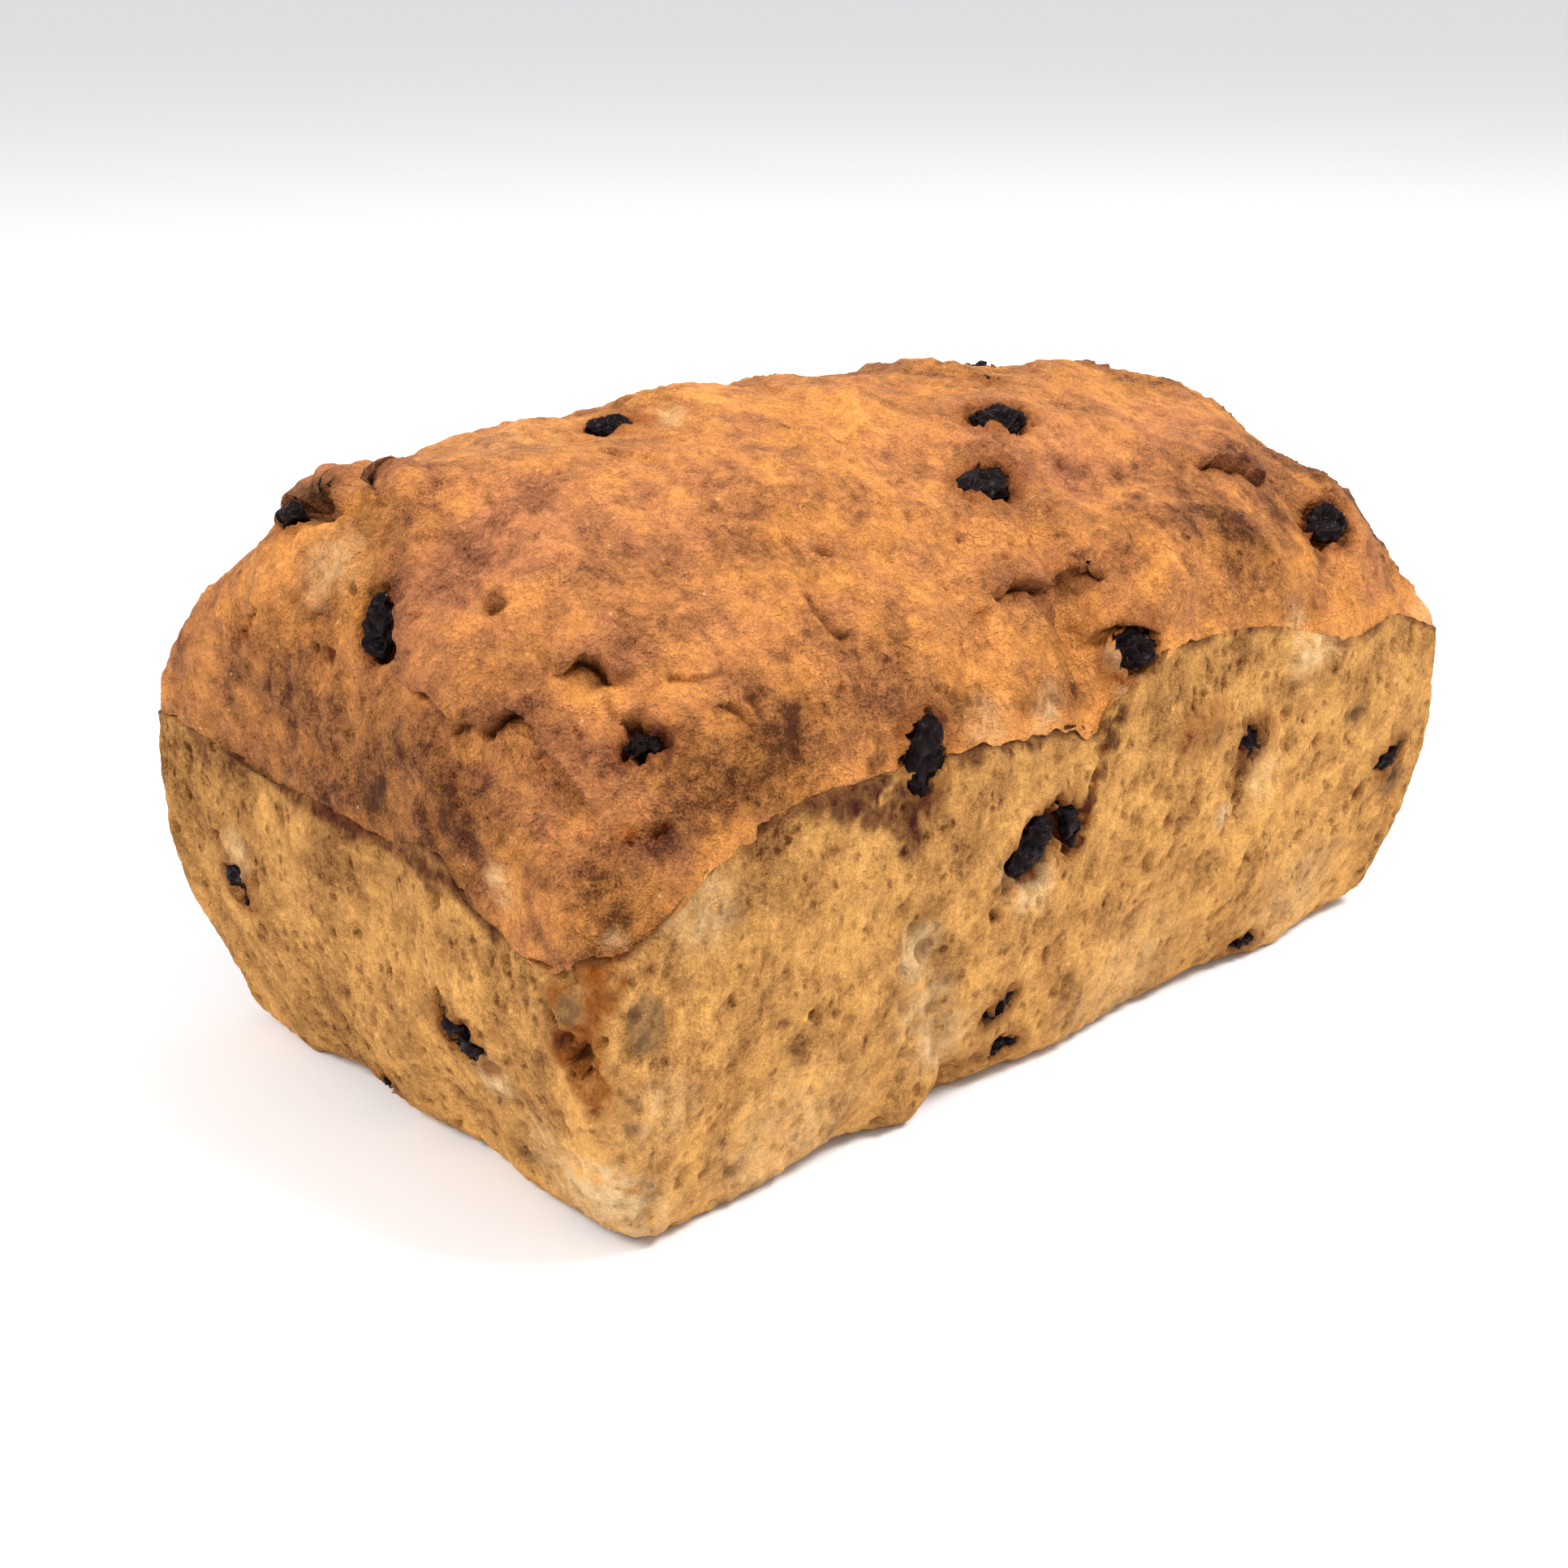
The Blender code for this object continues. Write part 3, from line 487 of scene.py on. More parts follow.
def bread_material(name, golden, ruddy, pore, relief, tint, roughness):
    """Baked skin: browning, stains and painted shade in hollows and furrows come from the vertices, and grain
    and pores from noise in real sizes.

    golden and ruddy are each the hex colours of pale and dark skin; pore is (width in mm, share of cells
    that burst, stretch along Z); relief is the height in mm of the coarse, fine and gritty grain, the pores
    and the small folds; tint is how far each of them darkens.
    """
    material = bpy.data.materials.new(name)
    material.use_nodes = True
    material.node_tree.nodes.clear()
    add = functools.partial(add_node, material)
    pore_width, pore_chance, pore_stretch = pore

    def noise_of(vector, width, detail, rough=0.6, output="Fac"):
        node = add("TexNoise", None, {"Vector": vector, "Scale": 1 / (width * MM), "Detail": detail,
                                      "Roughness": rough})
        return node.outputs[output]

    def maths(operation, first, second=0.0, third=0.0, clamp=False):
        node = add("Math", {"operation": operation, "use_clamp": clamp}, {0: first, 1: second, 2: third})
        return node.outputs[0]

    def step(value, start, end):
        node = add("MapRange", {"interpolation_type": "SMOOTHSTEP"},
                   {"Value": value, "From Min": start, "From Max": end})
        return node.outputs["Result"]

    def laid(share, under, over):
        return add("Mix", {"data_type": "RGBA"}, {0: share, 6: under, 7: over}).outputs[2]

    place = add("TexCoord").outputs["Object"]
    shares = {}
    for share in ("browning", "ruddy", "pale", "stain", "caramel", "green", "hollow"):
        shares[share] = add("Attribute", {"attribute_name": share}).outputs["Fac"]
    drift = noise_of(place, 2.4, 2.0, output="Color")
    warped = add("VectorMath", {"operation": "MULTIPLY_ADD"},
                 {0: drift, 1: (1.9 * MM,) * 3, 2: place}).outputs["Vector"]
    shiver = noise_of(place, 0.9, 1.0, output="Color")
    crinkled = add("VectorMath", {"operation": "MULTIPLY_ADD"},
                   {0: shiver, 1: (0.6 * MM,) * 3, 2: warped}).outputs["Vector"]
    stretched = add("VectorMath", {"operation": "MULTIPLY"},
                    {0: crinkled, 1: (1.0, 1.0, 1 / pore_stretch)}).outputs["Vector"]
    blotch = noise_of(warped, 8.0, 5.0, 0.68)
    coarse = noise_of(stretched, 2.6, 4.0, 0.65)
    fine = noise_of(warped, 0.8, 4.0, 0.65)
    grit = noise_of(place, 0.32, 2.0)
    cells = add("TexVoronoi", None, {"Vector": stretched, "Scale": 1 / (pore_width * MM)})
    chance = add("SeparateColor", None, {"Color": cells.outputs["Color"]}).outputs[0]
    opened_here = step(chance, 1 - pore_chance, 1.12 - pore_chance)
    burst = maths("MULTIPLY", step(cells.outputs["Distance"], 0.44, 0.06), opened_here)
    phase = maths("FRACT", maths("MULTIPLY", noise_of(warped, 5.0, 3.0), 8.0))
    drop = maths("MULTIPLY", maths("SUBTRACT", 1.0, phase), 1 / 0.16)
    wrinkle_fold = maths("MINIMUM", maths("MULTIPLY", phase, 1 / 0.84), drop)
    wrinkle_fold = maths("MULTIPLY", wrinkle_fold, step(noise_of(place, 6.0, 1.0), 0.48, 0.66))
    grains = (coarse, fine, grit, burst, wrinkle_fold)
    middles = (0.5, 0.5, 0.5, 0.0, 0.0)

    toast = maths("MULTIPLY_ADD", maths("SUBTRACT", blotch, 0.5), 1.3, shares["browning"])
    height = 0.0
    for grain, middle_value, tall, dark in zip(grains, middles, relief, tint):
        centred = maths("SUBTRACT", grain, middle_value)
        height = maths("MULTIPLY_ADD", centred, tall, height)
        toast = maths("MULTIPLY_ADD", centred, dark, toast)
    toast = maths("MINIMUM", toast, 0.94)
    gold, red = (laid(toast, colour(pale), colour(dark)) for pale, dark in (golden, ruddy))
    redness = maths("MULTIPLY_ADD", maths("SUBTRACT", blotch, 0.5), 2.4, shares["ruddy"], clamp=True)
    skin = laid(redness, gold, red)
    speck = add("TexVoronoi", None, {"Vector": place, "Scale": 1 / (5.5 * MM)})
    skin = laid(maths("MULTIPLY", step(speck.outputs["Distance"], 0.06, 0.03), 0.35), skin, colour("#f3cf98"))
    uneven = maths("MULTIPLY_ADD", coarse, 1.6, -0.05)
    # Layers over the skin: pale patches; hollow, which is painted shade in pits and holes; then caramel,
    # green and stain, real colours that also carry painted shade under edges and the hood.
    layers = (("pale", "#f0cc98"), ("hollow", "#6c3410"), ("caramel", "#8a4410"), ("green", "#75583c"),
              ("stain", "#471b14"))
    for share, code in layers:
        skin = laid(maths("MULTIPLY", shares[share], uneven, clamp=True), skin, colour(code))
    surface = add("Bump", None, {"Strength": 1.0, "Distance": MM, "Height": height})
    gloss = maths("MULTIPLY_ADD", fine, 0.2, roughness - 0.1)
    finish = add("BsdfPrincipled", None, {"Base Color": skin, "Roughness": gloss, "IOR": 1.45,
                                          "Normal": surface.outputs["Normal"], "Specular IOR Level": 0.06})
    add("OutputMaterial", None, {"Surface": finish.outputs["BSDF"]})
    return material


# Tin-side skin: dry and matt, orange-brown in the burst bubbles and pale on the webs between them.
sides.data.materials.clear()
sides.data.materials.append(bread_material(
    "tin_baked_skin", ("#f8b868", "#4c1c02"), ("#e6a462", "#421908"), pore=(2.1, 0.6, 1.4),
    relief=(0.9, 1.3, 0.5, -0.75, 0.0), tint=(-0.36, -0.6, -0.6, 0.3, 0.0), roughness=0.8))
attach(sides, "root")
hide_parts("loaf")

# ---- The crust, which rose above the tin ----
# The open top of the dough, domed and browned in the oven's air. Its lobes lap over one another,
# bubbles burst at its skin, and its torn edge stands out over the sides.
SPINE = ((-1000.0, 101.5), (-600.0, 99.5), (-200.0, 99.5), (200.0, 98.3), (600.0, 95.6), (1000.0, 99.4))
NEAR_END_POWER = 5.6
NEAR_END_DROP = 0.32
FAR_END_POWER = 5.5
FAR_END_DROP = 0.45
ARCH_POWER = 2.35
ARCH_DROP = 0.74
CREST_SHIFT = 0.09
CROWN_CORNER = 14.0 * MM
CREST_HEIGHT = 99.5 * MM
CRUST_COLUMNS = 378
CRUST_ROWS = 242
NEARER = (0.2, 0.14)  # how far the mesh is drawn towards the near end and the near side
# Rings that close it inside the wall, in mm: inset, and rise over the lip or, for the last, the rim
SKIRT = ((1.2, -0.2), (6.0, 0.3), (10.0, 4.2))


def end_fall(fraction_x):
    """Share of the spine's rise that is left at a fraction of the half length."""
    power = np.where(fraction_x < 0, NEAR_END_POWER, FAR_END_POWER)
    drop = np.where(fraction_x < 0, NEAR_END_DROP, FAR_END_DROP)
    return np.clip(1 - np.abs(fraction_x) ** power, 0, 1) ** drop


def arch(fraction_y):
    """Share of the spine's rise that is left at a fraction of the half width."""
    from_crest = fraction_y - CREST_SHIFT
    reach = np.where(from_crest < 0, 1 + CREST_SHIFT, 1 - CREST_SHIFT)
    return np.clip(1 - np.abs(from_crest / reach) ** ARCH_POWER, 0, 1) ** ARCH_DROP


def even_fractions(stations, profile, half_extent, share):
    """Fractions at which stations from -1 to 1 lie evenly along the profile, lowered to a share of it."""
    fractions = np.sin(np.linspace(-math.pi / 2, math.pi / 2, 4001))
    levels = np.linspace(0.0, 1.0, 41)
    found = []
    for level in levels:
        rise = level * (CREST_HEIGHT - RIM_HEIGHT) * profile(fractions)
        run = np.cumsum(np.hypot(np.diff(fractions, prepend=-1) * half_extent, np.diff(rise, prepend=0)))
        found.append(np.interp(stations, 2 * run / run[-1] - 1, fractions))
    place = share * (len(levels) - 1)
    under = np.clip(place.astype(int), 0, len(levels) - 2)
    found, number = np.array(found), np.arange(len(stations))
    return found[under, number] + (found[under + 1, number] - found[under, number]) * (place - under)


def crust_form(along, across):
    """Point of the crust, where along and across run from -1 to 1 over its curved top."""
    whole = np.ones(len(along))
    middle_y = even_fractions(across, arch, RIM_WIDTH / 2, whole)
    fraction_x = even_fractions(along, end_fall, RIM_LENGTH / 2, arch(middle_y))
    fraction_y = even_fractions(across, arch, RIM_WIDTH / 2, end_fall(fraction_x))
    x, y = fraction_x * RIM_LENGTH / 2, fraction_y * RIM_WIDTH / 2
    share = end_fall(fraction_x) * arch(fraction_y)
    z = lip_height(x, y) + (through(SPINE, fraction_x) - RIM_HEIGHT) * share
    radius = CORNER_RADIUS + CROWN_CORNER * ease(0.0, 0.6, share)
    x, y = round_corners(x, y, RIM_LENGTH / 2, RIM_WIDTH / 2, radius)
    return np.stack([x, y, z], axis=-1)


def lapped(points, outward, route, rise, back, undercut, overhang, floor=0.0, ragged=0.35, taper=0.1):
    """A lobe's edge on the left of a route: it stands rise mm proud, fades over back mm, laps over what lies
    on the right by overhang mm, and leaves a furrow undercut mm deep and a hollow floor mm deep there."""
    signed, share, left = beside(points, outward, route)
    side = signed / MM + ragged * ripple(points, 2.2, 31) + 0.5 * ragged * ripple(points, 1.1, 32)
    ends = ease(0.0, taper, share) * ease(1.0, 1 - taper, share)
    ridge = rise * ease(-0.6, 1.0, side) * np.exp(-np.clip(side - 1.1, 0, None) / back)
    furrow = undercut * ease(-1.9, -0.5, side) * ease(0.6, -0.4, side)
    hollow = floor * ease(-5.5, -0.8, side) * ease(0.6, -0.4, side)
    lean = overhang * ease(-0.7, 0.5, side) * ease(2.8, 0.7, side)
    height = (ridge - furrow - hollow) * ends * MM
    return outward * height[:, None] - left * (lean * ends * MM)[:, None], furrow * ends, ridge * ends


def arc(place, radius, start, end, tilt=0.0, count=9):
    """A bow-shaped route on the surface round a place, from one clock angle in degrees to another."""
    away = np.array(place) * MM - (0.0, 0.0, 0.05)
    facing = away / np.linalg.norm(away)
    sideways = np.cross((0.0, 0.0, 1.0), facing)
    sideways /= np.linalg.norm(sideways)
    upward = np.cross(facing, sideways)
    turns = np.radians(np.linspace(start, end, count) + tilt)
    return [np.array(place) + radius * (np.cos(turn) * sideways + np.sin(turn) * upward) for turn in turns]


bpy.ops.mesh.primitive_grid_add(x_subdivisions=CRUST_COLUMNS, y_subdivisions=CRUST_ROWS, size=2.0)
crust = bpy.context.object
crust.name = "risen_crust"
bpy.ops.object.mode_set(mode="EDIT")
bpy.ops.mesh.select_all(action="SELECT")
bpy.ops.mesh.region_to_loop()
bpy.ops.mesh.mark_sharp()
for _ in SKIRT:
    bpy.ops.mesh.extrude_edges_move(TRANSFORM_OT_translate={"value": (0.0, 0.0, -1.0)})
bpy.ops.mesh.edge_face_add()
bpy.ops.mesh.select_all(action="SELECT")
bpy.ops.mesh.normals_make_consistent(inside=False)
bpy.ops.object.mode_set(mode="OBJECT")

unit = read_points(crust)
ring = np.round(-unit[:, 2])
closer = unit[:, :2] - np.array(NEARER) * (1 - unit[:, :2] ** 2)
dome = crust_form(closer[:, 0], closer[:, 1])
for number, (inset, height) in enumerate(SKIRT, 1):
    level = ring == number
    dome[level, :2] *= 1 - inset * MM / (RIM_WIDTH / 2)
    dome[level, 2] = height * MM + (dome[level, 2] if number < len(SKIRT) else RIM_HEIGHT)
outward = write_points(crust, dome)
skin = ring == 0

# Edges of lobes and burst bubbles: (route), rise, back, undercut, overhang and floor, as lapped() takes them
LOBE_EDGES = (
    # the big lobe's front, down to the arc
    (((-87.8, -4.8, 87.6), (-89.4, -6.6, 85.1), (-90.8, -9.4, 82.6), (-91.8, -12, 80.3), (-93.1, -14.6, 78),
      (-94, -15.6, 75.8), (-94.2, -18, 75), (-94.1, -21, 75), (-93.9, -23.6, 74.2),
      (-94.3, -25.9, 71.2)), 1.8, 6, 1.1, 1, 0.8),
    # the curl at its top, and the arc over the hollow at its foot
    (((-80.3, 9.6, 93.4), (-79.6, 7.9, 94.4), (-80.5, 4.5, 93.9), (-82.6, 2.4, 92.6)), 2.2, 3, 1.8, 1.8, 0.8),
    (((-94.6, -25.6, 70.2), (-93.9, -26.2, 71.8), (-93.1, -27.2, 72.4), (-92.7, -28.4, 71.8)),
     0.9, 3, 1.1, 0.8, 0.4),
    (((-92.8, -29.4, 70.4), (-91.6, -29.9, 72.2), (-90.6, -30.4, 73.2), (-89.2, -31.5, 73.8),
      (-88.2, -32.8, 73.5), (-87.7, -34.2, 72.7), (-87.7, -35.7, 71.1), (-88, -37, 69.3),
      (-87.7, -38.2, 68.5), (-87.1, -40.2, 67.2), (-86.9, -41.9, 65.7), (-86.7, -43.2, 64.7),
      (-86.8, -44.3, 63.7), (-87, -45.6, 62.1)), 2.4, 3.8, 2, 1.2, 1),
    # the torn flake below it
    (((-80.2, -53.4, 61), (-82, -52.9, 59.9), (-83.8, -52.2, 59), (-85.6, -51, 58.5), (-86.8, -49.6, 58.9)),
     1.7, 2.6, 2.6, 1.3, 0.6),
    (((-89.4, -36.2, 68.3), (-88.6, -36.4, 69.3), (-87.8, -37.1, 69.6), (-87.2, -38.5, 68.7)),
     0.7, 2, 0.8, 0.6, 0.3),
    (((-89.8, -37, 66.8), (-89, -37.4, 67.6), (-88.6, -38.5, 67.1), (-89.1, -39.3, 65.6)),
     0.6, 2, 0.7, 0.5, 0.2),
    # crescents left by burst bubbles
    (((-82.7, -33.6, 77.6), (-82.2, -34.2, 78.5), (-81.2, -34.2, 79.4), (-80.1, -34.8, 79.8),
      (-78.7, -36.8, 79.5), (-78.4, -38.5, 78.4), (-78.8, -40, 77)), 2.3, 3, 2, 1, 1.2),
    (((-14.4, -46.6, 77), (-13.4, -46.3, 77.7), (-10.1, -45.2, 78.5), (-6.3, -45.3, 78), (-3.1, -45.9, 76.6)),
     1.6, 2.8, 1.6, 1.4, 1),
    (((-2.6, -46.2, 75.4), (-1.9, -45.9, 76.4), (2.1, -45.6, 78), (5.4, -47.5, 79), (7, -50.2, 77)),
     1.7, 2.8, 1.6, 1.5, 1),
    (((47.9, -33.6, 83.9), (49.9, -33.1, 84.7), (54.4, -32.5, 84.6), (58.9, -36, 82.2), (62.2, -38.7, 80)),
     1.8, 4, 1.6, 1.5, 1.2),
    (((-3, -51.5, 69), (-2.6, -50, 71.1), (-1.5, -48.1, 73.6), (1.7, -46.8, 76.4)), 0.9, 4, 0.9, 0.8, 0.5),
    (((0.5, -51.6, 68), (2.3, -52.2, 70.4), (5.2, -53.4, 71.3), (9, -54.6, 70.3), (13, -55.6, 67.6)),
     1.2, 3.5, 1.3, 1.2, 0.4),
    (((-73.6, -43.4, 78.2), (-72.6, -44.2, 78.3), (-71.1, -45.6, 77.7), (-69, -46.2, 77.6), (-66, -46.6, 78)),
     0.5, 3, 0.6, 0.4, 0.2),
    (arc((-68, -50.3, 70.2), 4, 130, 0), 0.6, 3, 0.5, 0.4, 0.5),
    (((-78.6, -42.8, 74.8), (-78.3, -44.4, 73.4), (-78.1, -46.8, 71.4)), 0.5, 2, 0.6, 0.4, 0.1),
    (((-80.3, -40.4, 75), (-80.3, -41.4, 74), (-80.3, -42.8, 72.8)), 0.4, 2, 0.5, 0.3, 0.1),
    (((-45.4, -41, 83), (-45.8, -43, 81.4), (-45.4, -45.6, 79.2), (-43.4, -47.4, 77.8)),
     0.5, 2.5, 0.7, 0.4, 0.3),
    (((-93.6, 9.2, 77.8), (-93.4, 8.6, 78.7), (-93.1, 6.8, 79.6), (-93.3, 4, 79.3)), 0.5, 2, 0.6, 0.4, 0.6),
    (((-86.6, -22.6, 85), (-86.3, -23.4, 85.8), (-85.2, -23.8, 86.4), (-84.2, -25, 85.8)),
     0.4, 2, 0.7, 0.5, 0.5),
    (((-94, 20.4, 75.6), (-94.4, 23.4, 74.2), (-95.1, 26.4, 71.6), (-95.5, 27.4, 68.9)),
     0.5, 2.5, 1, 0.5, 0.3),
    (((-52.7, -4.3, 98.5), (-51.3, -8.6, 98.1), (-47.3, -10.3, 97.8)), 0.4, 2.5, 0.6, 0.4, 0.3),
    # far side, back and top
    (((10, 52, 78), (4, 44, 87), (8, 34, 94), (4, 24, 97.5)), 1.3, 7, 0.8, 1, 0.4),
    (((93.5, 34, 62), (92, 22, 74), (93, 8, 78), (94, -12, 72), (95, -24, 64)), 1.3, 7, 0.9, 1, 0.4),
    (arc((-40, 44, 84), 5, 160, 20), 1.1, 4, 1.1, 1, 0.6),
    (arc((60, 46, 80), 4, 150, 20), 0.9, 4, 1, 0.9, 0.6),
    (arc((-20, 30, 95), 4, 150, 20), 0.7, 4, 0.8, 0.6, 0.4),
)
# Broad folds, and low ridges with a negative depth: (route), width and depth
DOME_FOLDS = (
    (((-83.6, 11, 91.8), (-86.4, 4.6, 89.4), (-89.8, 0, 84.6), (-92.4, -8, 78.4)), 8, 1.1),
    (((-7.6, 9.8, 98.1), (-13.4, -16.3, 96.4), (2, -30.5, 88), (3.1, -44.6, 78.9), (-2.6, -53.5, 65.2),
      (2, -56.3, 57.5)), 12, 1.5),
    (((-38.1, -38.3, 84.1), (-36.9, -49.9, 75.9), (-40, -53.1, 69.2)), 2.2, 0.5),
    (((-60, -53, 66), (-57, -48, 74), (-60, -42, 80)), 5, 0.5),
    (((-24, -54.5, 66), (-20, -50, 74), (-22, -42, 81)), 5, 0.5),
    (((-80, 15, 92), (-70, 12, 96.5), (-50, 20, 98)), 10, 0.7),
    (((14, -28, 90), (24, -36, 85), (40, -34, 85.5)), 8, 0.6),
    (((30, 40, 91), (42, 48, 80), (48, 55.5, 60)), 9, 1.3),
    (((-60, 54, 66), (-56, 46, 80), (-62, 34, 91)), 7, 0.8),
    (((-20, 55, 62), (-22, 48, 78), (-18, 40, 88)), 6, 0.7),
    (((-79.6, 9, 95), (-79, 4, 95), (-82, -2, 92.4), (-86.6, -8, 87.6)), 7, -1.3),
    (((-58, -8, 97.5), (-36.7, -14.1, 97.1), (-20.4, -30.2, 90.1), (-12, -38, 84.5)), 3, -0.5),
    (((-84.5, -24, 84.5), (-78, -14, 91.5), (-70, -8, 95)), 6, -0.7),
)
# Small holes, as x, y, z, radius and depth
CRUST_PITS = (
    (-95.4, 25.6, 71.7, 1.3, 1.6), (-95.2, 23.4, 73.4, 1.5, 1.8), (-95, 22, 75, 1.3, 1.6),
    (-90.9, 2, 83.2, 0.9, 1.3), (-94.4, 4.2, 73.8, 1.4, 1.5), (-94.2, 6.6, 74.4, 0.8, 1.2),
    (-85.6, -24, 85.7, 2.1, 0.8), (-45.9, -17.3, 96.1, 1.2, 0.9), (-36.7, -34.9, 86.1, 1.4, 1.1),
    (-17.5, -46.8, 74.8, 1.9, 1.7), (-18.5, -42.6, 79.2, 1.2, 1.2), (-93.4, -17.6, 74.2, 0.7, 1.4),
    (-91.9, -30.4, 70.9, 0.9, 1.8), (-64.3, -50.4, 74.2, 1.3, 0.9), (-63.8, -50, 76, 1.2, 0.9),
    (-14, -51.5, 68.5, 0.9, 1), (-65.2, -27.4, 89.3, 1.3, 0.5), (-82.6, -52, 59.6, 1.9, 1.4),
    (-81.6, 4.6, 92.9, 1.5, 2.6), (66.8, -47.2, 70.6, 2, 1.6), (74, -47, 66.5, 2.4, 1.2),
    (-55, -53.5, 63.5, 0.9, 1.1), (-92.6, -16, 62, 0.6, 0.7), (-40, -56, 63.5, 1.3, 1.2),
)
slow = slow_form(dome)
for route, width, depth in DOME_FOLDS:
    slow += groove(dome, outward, route, width, depth, ragged=1.2)
slow += 0.9 * MM * ripple(dome, 30, 4)
dome = dome + outward * (slow * np.where(skin, 1.0, 0.0))[:, None]
outward = write_points(crust, dome)

# The torn blister at the left shoulder: its hood stands up and reaches over the hollow below it.
HOOD = ((-86.6, 28, 87.6), (-84, 27.4, 91), (-81.6, 25.4, 93.6), (-80.6, 22.2, 94.2), (-80.6, 18.9, 94.2),
        (-81.4, 16.2, 92.8), (-83.8, 14.6, 91))
HOOD_HOLLOW = ((-83.2, 21, 91.8, 7.6, 4.2), (-83.2, 25, 91.6, 5.4, 2.8), (-84, 17.4, 91, 5, 2.8))
# Grey-brown painted into the hollow under the hood: painted shade, carried by the green share.
HOOD_SHADE = ((-83.4, 21, 91, 7.5, 1.1), (-84, 25.5, 90, 4.5, 0.8))
moved, furrow, ridge = lapped(dome, outward, HOOD, 2.4, 5.0, 1.4, 3.0, ragged=0.9, taper=0.14)
# The furrows under the hood and the lobe edges are darkened through the stain and caramel shares below:
# painted shade in the undercuts.
furrow_shade, crests = 1.6 * furrow, ridge
for route, height, back, undercut, overhang, floor in LOBE_EDGES:
    move, furrow, ridge = lapped(dome, outward, route, height, back, undercut, overhang, floor)
    moved += move
    furrow_shade = np.maximum(furrow_shade, furrow)
    crests = np.maximum(crests, ridge)
wobble = np.stack([ripple(dome, 2.4, seed) for seed in (41.0, 42.0, 43.0)], axis=-1) * 0.5 * MM
blister_hollow = -spots(dome + wobble, HOOD_HOLLOW) * MM
crust_hollow = pits(dome + wobble, CRUST_PITS)
middle, _, own = bubbles(dome + wobble, 6.0, 44.0)
small_pits = ease(0.17, 0.07, middle) * ease(0.55, 0.8, own)


def ledges(points, size, seed, share=0.13):
    """Soft dough that settled in overlapping folds: slopes that end in a short drop, from 0 to 1."""
    turns = 3.8 * ripple(points, size, seed) + 0.9 * ripple(points, size / 3, seed + 1)
    phase = turns % 1.0
    return np.minimum(phase / (1 - share), (1 - phase) / share)


folds = ledges(dome, 17.0, 45.0) * ease(-0.15, 0.35, ripple(dome, 20, 46))
small_folds = ledges(dome, 11.0, 56.0, 0.2) * ease(0.0, 0.4, ripple(dome, 14, 57))
grit = ripple(dome, 1.7, 49)
gaps, cover = raisin_gaps(dome)
pocket, opened = pockets(dome, gaps, cover, 0.8)
fine = 0.75 * folds + 0.5 * small_folds + 0.55 * ripple(dome, 3.6, 48) + 0.28 * grit - 0.7 * small_pits
fine += 0.6 * ripple(dome, 8, 55) - 0.5
fine *= MM * fade(-0.2, 1.2, gaps)
lip_place = dome.copy()
lip_place[:, 2] = lip_height(dome[:, 0], dome[:, 1])
above_lip = dome[:, 2] - lip_place[:, 2]
near_edge = fade(3.5, 0.3, above_lip)
fine = fine * (1 - 0.6 * near_edge) - 0.25 * MM * near_edge * (1 - overhung_share(dome))
fine += crust_hollow + blister_hollow + pocket
fine[~skin] = 0.0
torn_end = fade(-90, -95, dome[:, 0]) * fade(-50, -44, dome[:, 1])
ragged_edge = (1.0 + 1.8 * torn_end) * ripple(lip_place, 2.8, 50) + 1.0 * ripple(lip_place, 7, 51)
ragged_edge += 0.2 * ripple(lip_place, 1.2, 60) + 0.9
ragged_edge *= fade(5, 0.2, above_lip)
dome = dome + np.where(skin[:, None], moved, 0.0) + outward * fine[:, None]
dome[skin, 2] -= ragged_edge[skin] * MM
write_points(crust, dome)
smooth_faces(crust)

# What the crust's colour follows: x, y, z and radius in mm, and amount
CRUST_BROWN = (
    (-95, 18, 58, 24, 0.34), (-95, -10, 60, 22, 0.36), (-93, -30, 57, 15, 0.22), (-86, 16, 86, 16, -0.16),
    (-92.5, -3, 76, 9, -0.14), (-89, -36, 67.5, 5.5, -0.16), (-82, -10, 88, 16, 0.1),
    (-60, -30, 88, 24, 0.05), (-10, 0, 98, 40, -0.18), (-60, -12, 96, 26, -0.08), (50, -18, 92, 26, -0.12),
    (-78, -52, 64, 14, 0.26), (-62, -52, 68, 16, 0.3), (-40, -52, 70, 16, 0.2), (-64, -56, 61, 9, 0.22),
    (40, -40, 80, 26, 0.2), (70, -36, 78, 22, 0.26), (86, -30, 76, 20, 0.26), (40, -50, 70, 20, 0.2),
    (88, -52, 56, 9, -0.25), (0, -54, 66, 10, -0.04), (-20, -55.5, 64.5, 10, -0.02),
    (-88, -50, 56, 13, 0.36), (-90.5, -52.5, 50.5, 9, 0.22), (-68, -54, 62, 16, 0.14),
    (88, -40, 66, 14, 0.4), (80, 10, 96, 40, 0.2), (20, 40, 92, 50, 0.1), (-82, -14, 88, 10, 0.08),
    (20, 10, 99, 30, 0.1), (60, -55, 60, 9, -0.22), (-42.3, 2, 98, 12, -0.16), (-60, 20, 98, 26, -0.04),
    (20, 20, 98, 34, 0.02), (-84, -44, 66, 6, 0.1), (-93, -40, 58, 8, 0.2),
)
CRUST_RUDDY = (
    (-80, -16, 86, 22, 0.55), (-60, -20, 92, 30, 0.3), (-91, -20, 62, 18, 0.15), (20, -28, 90, 30, 0.45),
    (60, -30, 84, 30, 0.35), (-82, -50, 62, 11, 0.35), (-86, 12, 86, 18, -0.35), (-88, -52, 52, 9, -0.5),
    (88, -50, 58, 14, -0.5), (0, -54, 64, 14, -0.4), (-24, -55, 64, 16, -0.5), (60, -55, 60, 12, -0.5),
    (-78, 30, 94, 12, 0.4), (-96, -38, 55, 8, -0.3),
)
